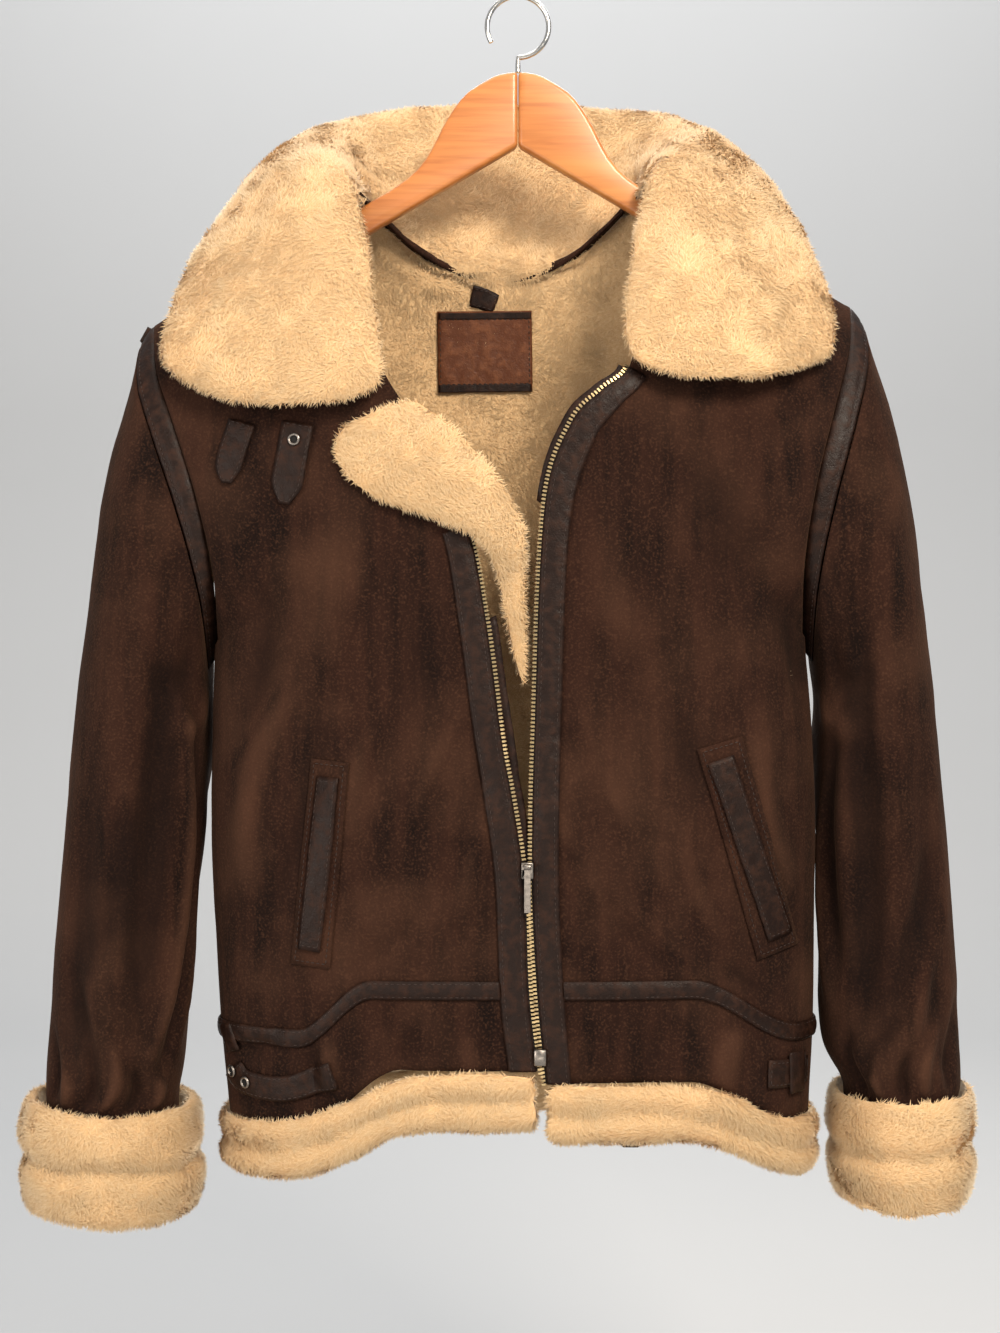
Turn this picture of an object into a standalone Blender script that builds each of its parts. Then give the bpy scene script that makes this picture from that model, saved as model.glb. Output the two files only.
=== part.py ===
"""An aviator bomber jacket on a two-piece wooden hanger, at its real size.

Metres, +Z up, front facing -Y. The origin is the inside top of the hanger's hook.
Left and right are the wearer's: the left front is at +X. The tables below are in millimetres.
"""

import math

import bpy
import numpy as np
from mathutils import Matrix, Vector
from mathutils.bvhtree import BVHTree

MM = 0.001
SUEDE = 2.4  # thickness of the suede shell
LEATHER = 1.3  # thickness of a leather strip or strap
FUR = 14.0  # thickness of the collar's pile and backing
UNDER_COLLAR_GAP = 1.4  # gap between the pile's rounded back and the under collar
LINING = 7.0  # thickness of the pile lining
SEAM = 0.4  # gap between two pieces at a seam
LIFT = 0.6  # gap below a piece that lies on another and has its facets
STRAP_LIFT = 1.1  # gap below a strap that crosses the facets below it
SUBSTEPS = 2  # mesh rows for each row of a panel's table
ARM_ROWS = 6  # rows of the panel tables from the shoulder seam to the underarm
WAIST_ROW = 10  # row of the panel tables that the waist strip covers
WAIST = WAIST_ROW * SUBSTEPS
UNDERARM = ARM_ROWS * SUBSTEPS
BAND_COLUMN = 1  # column of a front panel where its zip band ends
SLEEVE_SUBSTEPS = 2

# How the jacket hangs a little to one side: height, sideways shift and lean there.
HANG = (
    # z, shift, lean
    (-140, -13, 0.028),
    (-300, -12, 0.026),
    (-500, -6, 0.012),
    (-700, -3, 0.004),
    (-870, 1, 0.0),
)

# Places of the columns across half a panel, as shares from its centre edge to its side.
COLUMNS = (0.0, 0.085, 0.22, 0.41, 0.6, 0.78, 0.91, 0.985, 1.0)
FLAT_SIDE = 0.985  # share past which the side lies straight back, so that both seam edges meet square

# The armhole and the side seam, shared by front and back, before the jacket's lean.
FRONT_SIDE = (
    # x, y, z
    (270, 3, -249),
    (269, -14, -253),
    (262, -42, -290),
    (247, -60, -335),
    (231, -66, -390),
    (222, -54, -447),
    (226, -4, -503),
    (229, -2, -570),
    (231, 0, -650),
    (229, 0, -720),
    (226, 0, -795),
    (221, 0, -860),
)
BACK_SIDE = (
    # x, y, z
    (270, 3, -249),
    (269, 20, -253),
    (262, 46, -290),
    (249, 62, -335),
    (235, 67, -390),
    (226, 52, -447),
    (226, -4, -503),
    (229, -2, -570),
    (231, 0, -650),
    (229, 0, -720),
    (226, 0, -795),
    (221, 0, -860),
)

# Centre edge of each front, from the neck side down the neck seam and the zip.
LEFT_EDGE = (
    # x, y, z, roundness, drop start, drop end
    (99, 6, -142, 1.0, 0.0, 1.0),
    (98, -12, -146, 1.1, 0.0, 1.0),
    (93, -48, -200, 1.6, 0.0, 1.0),
    (86, -76, -262, 1.9, 0.0, 1.0),
    (80, -91, -303, 2.2, 0.0, 1.0),
    (60, -96, -321, 2.4, 0.0, 1.0),
    (38, -97, -345, 2.4, 0.0, 1.0),
    (19, -97, -405, 2.5, 0.0, 1.0),
    (12, -96, -560, 2.6, 0.1, 1.0),
    (10, -95, -669, 2.6, 0.3, 1.0),
    (14, -94, -757, 2.6, 0.52, 0.92),
    (20.5, -93, -825, 2.6, 0.5, 0.92),
)
RIGHT_EDGE = (
    # x, y, z, roundness, drop start, drop end
    (-125, 6, -149, 1.0, 0.0, 1.0),
    (-124, -12, -153, 1.1, 0.0, 1.0),
    (-119, -48, -205, 1.6, 0.0, 1.0),
    (-110, -76, -262, 1.9, 0.0, 1.0),
    (-100, -91, -303, 2.2, 0.0, 1.0),
    (-72, -96, -350, 2.4, 0.0, 1.0),
    (-39, -97, -417, 2.4, 0.0, 1.0),
    (-25, -97, -487, 2.5, 0.0, 1.0),
    (-13, -96, -575, 2.6, 0.1, 1.0),
    (2, -95, -669, 2.6, 0.3, 1.0),
    (6, -94, -757, 2.6, 0.48, 0.72),
    (12.5, -93, -816, 2.6, 0.42, 0.72),
)

# Centre line of the back, with how far the panel is drawn up and forward at the neck's side.
BACK_CENTRE = (
    # y, z, roundness, rise, draw
    (66, -203, 1.0, 77, -34),
    (70, -215, 1.2, 82, -25),
    (74, -245, 1.6, 66, -8),
    (77, -300, 2.0, 34, 0),
    (79, -370, 2.3, 12, 0),
    (80, -440, 2.5, 2, 0),
    (80, -503, 2.5, 0, 0),
    (80, -570, 2.6, 0, 0),
    (80, -650, 2.6, 0, 0),
    (80, -720, 2.6, 0, 0),
    (82, -778, 2.6, 0, 0),
    (84, -846, 2.6, 0, 0),
)
NECK_COLUMN = 3  # column where the shoulder seam meets the neck

# Each sleeve as rings below its armhole band: outer and inner side, middle and half depth.
LEFT_SLEEVE = (
    # outer x, outer z, inner x, inner z, middle y, half depth
    (296, -350, 233, -545, 0, 71),
    (308, -430, 231, -582, -1, 69),
    (319, -520, 231, -625, -3, 66),
    (327, -605, 234, -672, -6, 63),
    (333, -685, 234, -725, -9, 60),
    (337, -750, 233, -778, -12, 59),
    (338, -804, 237, -812, -14, 60),
    (338, -833, 251, -838, -15, 59),
    (337, -850, 253, -855, -15, 58),
)
RIGHT_SLEEVE = (
    # outer x, outer z, inner x, inner z, middle y, half depth
    (-316, -362, -240, -548, 0, 71),
    (-329, -445, -239, -586, -1, 69),
    (-339, -530, -243, -629, -3, 66),
    (-346, -610, -248, -681, -6, 63),
    (-353, -690, -252, -738, -9, 60),
    (-359, -765, -256, -790, -12, 59),
    (-362, -812, -258, -824, -14, 58),
    (-363, -840, -262, -848, -15, 57),
    (-362, -858, -263, -866, -15, 56),
)
# Long creases of a sleeve: where they lie round it, half width, first and last ring, depth.
SLEEVE_CREASES = (
    # turn, width, first, last, press
    (118, 28, 1.0, 6.6, 9.0),
    (62, 24, 3.2, 7.6, 5.0),
    (248, 28, 1.2, 6.0, 8.0),
    (300, 24, 3.4, 7.6, 5.0),
)
BAND_OUT = (9.0, 18.0)  # how far the armhole band reaches sideways: at top and underarm, at front and back
BAND_DOWN = (18.0, 6.0)  # the same, downwards

# The collar's pile as sections from the neck seam to the free edge, from its right front end
# round the back to its left front end. Each section has four points.
COLLAR = (
    # seam x, y, z, stand x, y, z, fall x, y, z, edge x, y, z
    (-93, -106, -322, -140, -113, -336, -205, -100, -334, -266, -66, -304),
    (-97, -94, -290, -152, -104, -300, -216, -84, -294, -275, -50, -276),
    (-104, -73, -240, -157, -80, -240, -218, -56, -236, -267, -22, -234),
    (-112, -46, -192, -157, -46, -182, -208, -18, -180, -250, 12, -192),
    (-121, -24, -156, -150, -18, -134, -192, 12, -126, -228, 34, -146),
    (-129, 4, -138, -148, 14, -118, -178, 34, -104, -208, 50, -118),
    (-122, 28, -144, -136, 44, -106, -158, 66, -80, -182, 78, -90),
    (-98, 47, -176, -110, 72, -112, -128, 92, -64, -150, 104, -68),
    (-60, 59, -200, -62, 84, -122, -66, 104, -52, -72, 128, -60),
    (-13, 62, -208, -10, 88, -122, -8, 108, -48, -6, 134, -62),
    (35, 59, -199, 40, 86, -120, 50, 106, -52, 58, 128, -60),
    (73, 45, -172, 86, 72, -110, 108, 94, -62, 130, 104, -68),
    (98, 26, -140, 114, 44, -102, 140, 66, -78, 166, 78, -88),
    (104, 4, -132, 122, 14, -112, 156, 34, -100, 192, 50, -116),
    (94, -26, -150, 120, -18, -130, 168, 12, -124, 212, 34, -144),
    (86, -46, -184, 124, -46, -174, 180, -18, -172, 230, 12, -184),
    (77, -74, -232, 126, -80, -230, 186, -56, -228, 239, -22, -224),
    (70, -94, -276, 125, -104, -286, 186, -84, -280, 243, -50, -268),
    (77, -106, -304, 126, -113, -318, 188, -100, -313, 238, -68, -292),
)

# The turned-back top of the right front: its outer lobe and its inner rolled edge.
LAPEL = (
    # outer x, outer z, inner x, inner z, y
    (-136, -347, -78, -320, -100.4),
    (-143, -372, -52, -335, -100.2),
    (-121, -401, -27, -360, -102.0),
    (-77, -412, -8, -388, -103.3),
    (-37, -425, 8, -416, -105.5),
    (-22, -440, 8, -434, -103),
    (-19, -457, 7, -452, -92),
    (-12, -490, 8, -495, -86),
    (-2, -536, 8, -544, -85),
)

HANGER_BOARD = 12.0
HANGER_Y = 0.0
# Upper and lower outline of one hanger arm, from the centre joint outwards.
ARM_TOP = (
    # x, z
    (0.3, -58),
    (14, -60),
    (23, -64),
    (39, -74),
    (50, -87),
    (59, -102),
    (67, -118),
    (78, -134),
    (100, -151),
    (150, -179.4),
    (200, -214),
    (212, -224),
)
ARM_BOTTOM = (
    # x, z
    (214, -231),
    (206, -237),
    (150, -204),
    (79, -163),
    (32, -135),
    (0.3, -116),
)

bpy_objects = bpy.data.objects
for stray in list(bpy_objects):
    bpy_objects.remove(stray, do_unlink=True)

parts = bpy.data.collections.new("bomber_jacket_on_hanger")
bpy.context.scene.collection.children.link(parts)


def paint(name, colour, roughness, metallic=0.0):
    """A Principled material from an sRGB hex colour."""
    linear = [(int(colour[i : i + 2], 16) / 255) ** 2.2 for i in (0, 2, 4)]
    material = bpy.data.materials.new(name)
    material.use_nodes = True
    shader = material.node_tree.nodes["Principled BSDF"]
    shader.inputs["Base Color"].default_value = (*linear, 1)
    shader.inputs["Roughness"].default_value = roughness
    shader.inputs["Metallic"].default_value = metallic
    return material


suede = paint("dark_brown_suede", "4a3224", 0.9)
leather = paint("dark_brown_leather", "2e1d16", 0.45)
fur = paint("cream_pile", "e6c79b", 0.95)
label_leather = paint("tan_leather", "8a5a3c", 0.5)
brass = paint("antique_brass", "c8b48a", 0.35, 1.0)
nickel = paint("dark_nickel", "6f6a66", 0.3, 1.0)
wood = paint("varnished_maple", "d99a5b", 0.35)
steel = paint("bright_steel", "b8b8b8", 0.2, 1.0)


def filled(rows, steps):
    """A table's rows with a smooth curve through them: steps rows for each gap in the table."""
    rows = np.asarray(rows, float)
    padded = np.vstack([2 * rows[0] - rows[1], rows, 2 * rows[-1] - rows[-2]])
    result = []
    for i in range(len(rows) - 1):
        before, start, end, after = padded[i : i + 4]
        for k in range(steps):
            t = k / steps
            result.append(
                start
                + 0.5 * t * (end - before)
                + t * t * (before - 2.5 * start + 2 * end - 0.5 * after)
                + t**3 * 0.5 * (3 * start - before - 3 * end + after)
            )
    result.append(rows[-1])
    return np.array(result)


def filled_sides(rows):
    """A panel's side, with a corner at the underarm where the armhole meets the side seam."""
    upper = filled(rows[: ARM_ROWS + 1], SUBSTEPS)
    lower = filled(rows[ARM_ROWS:], SUBSTEPS)
    return np.concatenate([upper[:-1], lower])


def smooth(t):
    t = np.clip(t, 0, 1)
    return t * t * (3 - 2 * t)


def hung(point, side):
    """A point of the straight jacket, mirrored to its side and moved to where the jacket hangs."""
    heights = [row[0] for row in reversed(HANG)]
    shift = np.interp(point[2], heights, [row[1] for row in reversed(HANG)])
    lean = np.interp(point[2], heights, [row[2] for row in reversed(HANG)])
    x = side * point[0] + shift
    return np.array([x, point[1], point[2] + lean * x])


def front_grid(edge_table, side):
    """Outer face of a front from its centre edge to its side, shoulder seam to hem."""
    edges = filled(edge_table, SUBSTEPS)
    sides = filled_sides(FRONT_SIDE)
    share = np.array(COLUMNS)
    grid = []
    for (x, y, z, roundness, start, stop), side_point in zip(edges, sides):
        end = hung(side_point, side)
        round_share = (1 - share**roundness) ** (1 / roundness)
        fall = share if stop - start > 0.99 else smooth((share - start) / (stop - start))
        flat = FLAT_SIDE if len(grid) >= UNDERARM else 1.0
        across = np.minimum(share / flat, 1)
        grid.append(
            np.stack(
                [
                    x + (end[0] - x) * across,
                    end[1] + (y - end[1]) * round_share,
                    z + (end[2] - z) * fall,
                ],
                axis=-1,
            )
        )
    return np.array(grid)


def back_half(side):
    """Outer face of half the back, from its centre line to its side."""
    centres = filled(BACK_CENTRE, SUBSTEPS)
    sides = filled_sides(BACK_SIDE)
    share = np.array(COLUMNS)
    neck = COLUMNS[NECK_COLUMN]
    tent = np.where(share < neck, (share / neck) ** 1.8, (1 - share) / (1 - neck))
    grid = []
    for (y, z, roundness, rise, draw), side_point in zip(centres, sides):
        centre = hung((0, y, z), side)
        end = hung(side_point, side)
        round_share = (1 - share**roundness) ** (1 / roundness)
        flat = FLAT_SIDE if len(grid) >= UNDERARM else 1.0
        across = np.minimum(share / flat, 1)
        grid.append(
            np.stack(
                [
                    centre[0] + (end[0] - centre[0]) * across,
                    end[1] + (y - end[1]) * round_share + draw * tent,
                    centre[2] + (end[2] - centre[2]) * share + rise * tent,
                ],
                axis=-1,
            )
        )
    return np.array(grid)


def back_grid():
    """Outer face of the back, from the left side seam to the right one."""
    return np.concatenate([back_half(1)[:, ::-1], back_half(-1)[:, 1:]], axis=1)


def normals(grid, outward, closed=False):
    """Unit normals of a grid; outward is 1 or -1, as its rows and columns turn."""
    down = np.gradient(grid, axis=0)
    if closed:
        across = np.roll(grid, -1, axis=1) - np.roll(grid, 1, axis=1)
    else:
        across = np.gradient(grid, axis=1)
    normal = np.cross(down, across) * outward
    return normal / np.linalg.norm(normal, axis=-1, keepdims=True)


def moved(grid, outward, distance, closed=False):
    return grid + normals(grid, outward, closed) * distance


def trimmed(grid, top=0.0, bottom=0.0, first=0.0, last=0.0):
    """A grid whose border rows and columns are drawn in by these distances."""
    grid = grid.copy()
    for (axis, end), distance in zip(((0, 0), (0, -1), (1, 0), (1, -1)), (top, bottom, first, last)):
        if distance:
            lines = np.swapaxes(grid, 0, axis)
            step = lines[1 if end == 0 else -2] - lines[end]
            lines[end] += distance * step / np.linalg.norm(step, axis=-1, keepdims=True)
    return grid


def mesh_object(name, points, faces, material):
    mesh = bpy.data.meshes.new(name)
    mesh.from_pydata([tuple(point) for point in np.asarray(points) * MM], [], faces)
    mesh.materials.append(material)
    thing = bpy.data.objects.new(name, mesh)
    parts.objects.link(thing)
    mesh.shade_smooth()
    mesh.set_sharp_from_angle(angle=math.radians(40))
    return thing


def sheet(name, grid, outward, thickness, material, inwards=True, closed=False, soft=False):
    """A wall made from a grid of points: open, or closed round its columns."""
    rows, columns = grid.shape[:2]
    faces = []
    for row in range(rows - 1):
        for column in range(columns if closed else columns - 1):
            beside = (column + 1) % columns
            quad = (
                row * columns + column,
                (row + 1) * columns + column,
                (row + 1) * columns + beside,
                row * columns + beside,
            )
            faces.append(quad if outward > 0 else quad[::-1])
    thing = mesh_object(name, grid.reshape(-1, 3), faces, material)
    wall = thing.modifiers.new("wall", "SOLIDIFY")
    wall.thickness = thickness * MM
    wall.offset = -1 if inwards else 1
    wall.use_even_offset = not soft
    if soft:
        wall.offset = 0
        rounding = thing.modifiers.new("rounding", "SUBSURF")
        rounding.levels = 1
        rounding.render_levels = 1
    return thing


def tube_of_sections(name, sections, outward, material, closed=False, folded=False):
    """A solid lofted through closed sections with the same number of points.

    A folded section runs along a wall's outside and back along its inside.
    """
    count, around = sections.shape[:2]
    faces = []
    for i in range(count if closed else count - 1):
        beyond = (i + 1) % count
        for k in range(around):
            after = (k + 1) % around
            quad = (
                i * around + k,
                beyond * around + k,
                beyond * around + after,
                i * around + after,
            )
            faces.append(quad if outward > 0 else quad[::-1])
    if not closed:
        caps = [tuple(range(around))]
        if folded:
            caps = [(k, k + 1, around - 2 - k, around - 1 - k) for k in range(around // 2 - 1)]
        for first in caps:
            last = tuple((count - 1) * around + k for k in first)
            faces.append(first if outward > 0 else first[::-1])
            faces.append(last[::-1] if outward > 0 else last)
    return mesh_object(name, sections.reshape(-1, 3), faces, material)


# ---- shell -------------------------------------------------------------------------------------

left_front = front_grid(LEFT_EDGE, 1)
right_front = front_grid(RIGHT_EDGE, -1)
back = back_grid()
half_seam = SEAM / 2


def build_shell():
    for name, grid, outward in (
        ("front_left", left_front, 1),
        ("front_right", right_front, -1),
    ):
        upper = trimmed(grid[: WAIST + 1], top=half_seam, bottom=half_seam, last=half_seam)
        sheet(name, upper, outward, SUEDE, suede)
        lower = trimmed(grid[WAIST:], top=half_seam, last=half_seam)
        sheet(name.replace("front", "hem_band"), lower, outward, SUEDE, suede)
    upper = trimmed(back[: WAIST + 1], half_seam, half_seam, half_seam, half_seam)
    sheet("back", upper, 1, SUEDE, suede)
    lower = trimmed(back[WAIST:], top=half_seam, first=half_seam, last=half_seam)
    sheet("hem_band_back", lower, 1, SUEDE, suede)


def waist_rows(grid):
    """Three rows of points across the waist seam, a strip's width apart."""
    half_strip = 6.5
    middle = grid[WAIST]
    above = grid[WAIST - 1] - middle
    below = grid[WAIST + 1] - middle
    above = above * half_strip / np.linalg.norm(above, axis=-1, keepdims=True)
    below = below * half_strip / np.linalg.norm(below, axis=-1, keepdims=True)
    return np.array([middle + above, middle, middle + below])


def build_strips():
    for name, grid, outward in (
        ("left", left_front, 1),
        ("right", right_front, -1),
    ):
        strip = waist_rows(grid)[:, BAND_COLUMN:]
        strip = trimmed(moved(strip, outward, LIFT), first=1.2, last=half_seam)
        sheet("waist_strip_" + name, strip, outward, LEATHER, leather, inwards=False)
        band = moved(grid[:, : BAND_COLUMN + 1], outward, LIFT)
        top = 4 * SUBSTEPS if name == "left" else 6 * SUBSTEPS
        sheet("zip_band_" + name, band[top:], outward, LEATHER, leather, inwards=False)
    strip = trimmed(moved(waist_rows(back), 1, LIFT), first=half_seam, last=half_seam)
    sheet("waist_strip_back", strip, 1, LEATHER, leather, inwards=False)


# ---- sleeves -----------------------------------------------------------------------------------


def armhole(side):
    """Points round the armhole: from the shoulder down the front and up the back."""
    front = left_front if side > 0 else right_front
    column = 0 if side > 0 else -1
    down = front[: UNDERARM + 1, -1]
    up = back[: UNDERARM + 1, column][::-1]
    return np.concatenate([down, up[1:-1]])


def band_end(loop, side):
    """The armhole's points moved to the lower edge of its leather band."""
    count = len(loop)
    turn = 2 * np.pi * np.arange(count) / count
    sideways = BAND_OUT[0] + (BAND_OUT[1] - BAND_OUT[0]) * np.sin(turn) ** 2
    downwards = BAND_DOWN[0] + (BAND_DOWN[1] - BAND_DOWN[0]) * np.sin(turn) ** 2
    shift = np.stack([side * sideways, np.zeros(count), -downwards], axis=-1)
    return loop + shift


def ellipse_ring(row, count):
    """A ring of the sleeve, from its outer side round the front."""
    outer_x, outer_z, inner_x, inner_z, middle_y, half_depth = row
    turn = 2 * np.pi * np.arange(count) / count
    along = np.cos(turn)
    return np.stack(
        [
            (outer_x + inner_x) / 2 + (outer_x - inner_x) / 2 * along,
            middle_y - half_depth * np.sin(turn),
            (outer_z + inner_z) / 2 + (outer_z - inner_z) / 2 * along,
        ],
        axis=-1,
    )


def sleeve_grid(table, side):
    start = band_end(armhole(side), side)
    rings = [start] + [ellipse_ring(row, len(start)) for row in table]
    flat = np.array(rings).reshape(len(rings), -1)
    grid = filled(flat, SLEEVE_SUBSTEPS).reshape(-1, len(start), 3)
    return creased(trimmed(grid, top=SEAM + 0.3), side)


def creased(grid, side):
    """The sleeve with its long creases pressed in."""
    rows, count = grid.shape[:2]
    turns = 360 * np.arange(count) / count
    depth = np.zeros((rows, count))
    for turn, width, first, last, press in SLEEVE_CREASES:
        away = np.abs((turns - turn + 180) % 360 - 180)
        across = np.clip(1 - away / width, 0, 1)
        along = (np.arange(rows) / SLEEVE_SUBSTEPS - first) / (last - first)
        swell = np.sin(np.pi * np.clip(along, 0, 1)) ** 0.7
        depth += press * swell[:, None] * across[None, :]
    return grid - normals(grid, -side, closed=True) * depth[..., None]


def build_half_sleeve(name, grid, side, first):
    """The front or back half of a sleeve, from one lengthwise seam to the other."""
    around = grid.shape[1]
    columns = np.arange(first, first + around // 2 + 1) % around
    lining_side = moved(grid, -side, -SUEDE, closed=True)
    skins = [trimmed(skin[:, columns], first=half_seam, last=half_seam) for skin in (grid, lining_side)]
    sections = np.concatenate([skins[0], skins[1][::-1]]).swapaxes(0, 1)
    tube_of_sections(name, sections, side, suede, folded=True)


CUFF_HEIGHT = 92.0
CUFF_GAP = 0.7  # gap between a cuff and its sleeve
# Section of a cuff's pile: share of its thickness outwards from the sleeve, share of its height.
CUFF_SECTION = (
    # out, down
    (0.0, 0.08),
    (0.45, 0.0),
    (0.88, 0.08),
    (1.0, 0.26),
    (0.8, 0.46),
    (1.0, 0.66),
    (0.84, 0.9),
    (0.4, 1.0),
    (0.0, 0.9),
    (0.0, 0.5),
)


def build_cuff(name, sleeve, side, thickness):
    """A turned pile cuff round the last ring of its sleeve."""
    ring = sleeve[-2]
    centre = ring.mean(axis=0)
    spokes = ring - centre
    spokes[:, 2] = 0
    spokes /= np.linalg.norm(spokes, axis=-1, keepdims=True)
    sections = []
    for out, down in CUFF_SECTION:
        points = ring + spokes * (CUFF_GAP + out * thickness)
        points[:, 2] += 6.0 - down * CUFF_HEIGHT
        sections.append(points)
    sections = np.swapaxes(np.array(sections), 0, 1)
    tube_of_sections(name, sections, side, fur, closed=True)


def build_sleeves():
    for name, table, side, cuff_thickness in (
        ("left", LEFT_SLEEVE, 1, 14.0),
        ("right", RIGHT_SLEEVE, -1, 20.0),
    ):
        loop = armhole(side)
        end = band_end(loop, side)
        middle = (loop + end) / 2
        band = np.array([loop + (end - loop) * 0.06, middle, loop + (end - loop) * 0.93])
        band[1] = moved(band, -side, 1.2, closed=True)[1]
        sheet("armhole_band_" + name, band, -side, LEATHER + 1, leather, closed=True)
        grid = sleeve_grid(table, side)
        build_half_sleeve(f"sleeve_{name}_front", grid, side, 0)
        build_half_sleeve(f"sleeve_{name}_back", grid, side, len(loop) // 2)
        build_cuff("cuff_" + name, grid, side, cuff_thickness)


# ---- hem fur -----------------------------------------------------------------------------------

# Section of the hem's pile: distance outwards from the suede, distance below the hem seam.
HEM_SECTION = (
    # out, down
    (-5, 1.2),
    (2, 0.8),
    (7, -3),
    (13, 8),
    (9, 20),
    (13, 30),
    (9, 42),
    (1, 45),
    (-7, 40),
    (-8, 10),
)


def build_hem_fur(name, grid, outward, first, last):
    """The pile below the hem seam, drawn in at its ends by first and last."""
    edge = trimmed(grid[-2:], first=first, last=last)
    outwards = normals(edge, outward)[-1]
    outwards[:, 2] = 0
    outwards /= np.linalg.norm(outwards, axis=-1, keepdims=True)
    sections = []
    for out, down in HEM_SECTION:
        points = edge[-1] + outwards * out
        points[:, 2] -= down
        sections.append(points)
    tube_of_sections(name, np.swapaxes(np.array(sections), 0, 1), -outward, fur)


# ---- collar, lapel and lining ------------------------------------------------------------------


def collar_grid():
    """Middle of the collar's pile: a row for each section, columns from seam to free edge."""
    table = np.array(COLLAR, float).reshape(len(COLLAR), 4, 3)
    return np.array([filled(section, 2) for section in table])


# Columns of the collar that its suede underside follows: not the one in the fold's narrow corner.
UNDER_COLUMNS = [1, 2, 3, 5]


def build_collar():
    grid = collar_grid()
    pile = sheet("collar", grid, 1, FUR, fur, soft=True)
    tree = BVHTree.FromObject(pile, bpy.context.evaluated_depsgraph_get())
    rows = filled(grid.reshape(len(grid), -1), 2).reshape(-1, *grid.shape[1:])
    backwards = normals(rows, -1)[1:-1, UNDER_COLUMNS]
    under = rows[1:-1, UNDER_COLUMNS]
    for place in np.ndindex(under.shape[:2]):
        direction = Vector(backwards[place])
        outside = Vector(under[place]) + direction * FUR
        hit, facing, _, _ = tree.ray_cast(outside * MM, -direction)
        while hit and facing.dot(direction) < 0:
            hit, facing, _, _ = tree.ray_cast(hit - direction * 0.1 * MM, -direction)
        reach = hit / MM if hit else Vector(under[place]) + direction * FUR / 2
        under[place] = np.array(reach + direction * UNDER_COLLAR_GAP)
    sheet("collar_under", under, -1, LEATHER, suede, inwards=False)


def build_lapel():
    rows = []
    for outer_x, outer_z, inner_x, inner_z, y in LAPEL:
        across = []
        for share in (0.0, 0.5, 1.0):
            across.append(
                (
                    outer_x + (inner_x - outer_x) * share,
                    y - 3 * math.sin(math.pi * share),
                    outer_z + (inner_z - outer_z) * share,
                )
            )
        rows.append(across)
    sheet("lapel_right", np.array(rows), 1, 12, fur, soft=True)


def build_lining():
    bottom = 8 * SUBSTEPS
    inner = moved(back, 1, -(SUEDE + 2 * LIFT))
    rows = [*range(1, UNDERARM + 1), *range(UNDERARM + 2, bottom + 1, 2)]
    sheet("lining_back", inner[rows, 1:-1], 1, LINING, fur)
    for name, grid, outward in (("left", left_front, 1), ("right", right_front, -1)):
        inside = moved(grid, outward, -(SUEDE + LIFT))
        piece = inside[2 * SUBSTEPS : bottom + 1, 1:7]
        sheet("lining_" + name, piece, outward, LINING, fur)


# ---- zip ---------------------------------------------------------------------------------------

ZIP_HALF = 2.9


def build_zip():
    for name, grid, outward, top in (
        ("left", left_front, 1, 4 * SUBSTEPS),
        ("right", right_front, -1, 6 * SUBSTEPS),
    ):
        edge = grid[top:, 0]
        inward = edge - grid[top:, 1]
        inward /= np.linalg.norm(inward, axis=-1, keepdims=True)
        tape = np.stack([edge + inward * (SEAM + ZIP_HALF), edge + inward * SEAM], axis=1)
        sheet("zip_" + name, tape, outward, SUEDE, brass)


SLIDER = (5.8, -99.3, -669.0)  # middle of the slider's front plate
SLIDER_SIZE = (9.0, 4.0, 12.0)
SLIDER_NECK = (4.6, 2.4, 10.0)  # what joins the front plate to the teeth
EAR = (1.0, 6.6, 3.6)
EAR_SPREAD = 3.2
PULL_AXIS = (5.8, -103.9, -666.0)  # middle of the pin that the pull swings on
PIN_RADIUS = 0.8
EYE_HOLE = 1.15
EYE_RADIUS = 2.2
PULL_HALF_WIDTH = 2.3
PULL_LENGTH = 33.0
PULL_HALF_THICKNESS = 0.8
ZIP_BOX = (15.1, -97.5, -805.0)  # middle of the box at the zip's lower end
ZIP_BOX_SIZE = (9.0, 4.0, 12.0)


def block(name, centre, size, bevel, material):
    """A box with small bevels, at its real size."""
    bpy.ops.mesh.primitive_cube_add(size=1, location=[value * MM for value in centre])
    box = bpy.context.object
    box.name = name
    box.data.transform(Matrix.Diagonal((*[value * MM for value in size], 1)))
    box.data.materials.append(material)
    into_parts(box)
    if bevel:
        edge = box.modifiers.new("edges", "BEVEL")
        edge.width = bevel * MM
        edge.segments = 1
    return box


def into_parts(thing):
    for collection in list(thing.users_collection):
        collection.objects.unlink(thing)
    parts.objects.link(thing)


def joined(base, others):
    """The union of a piece and others, which are used up."""
    for other in others:
        union = base.modifiers.new("with " + other.name, "BOOLEAN")
        union.operation = "UNION"
        union.object = other
    graph = bpy.context.evaluated_depsgraph_get()
    shape = bpy.data.meshes.new_from_object(base.evaluated_get(graph))
    base.modifiers.clear()
    base.data = shape
    for other in others:
        bpy_objects.remove(other, do_unlink=True)


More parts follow.
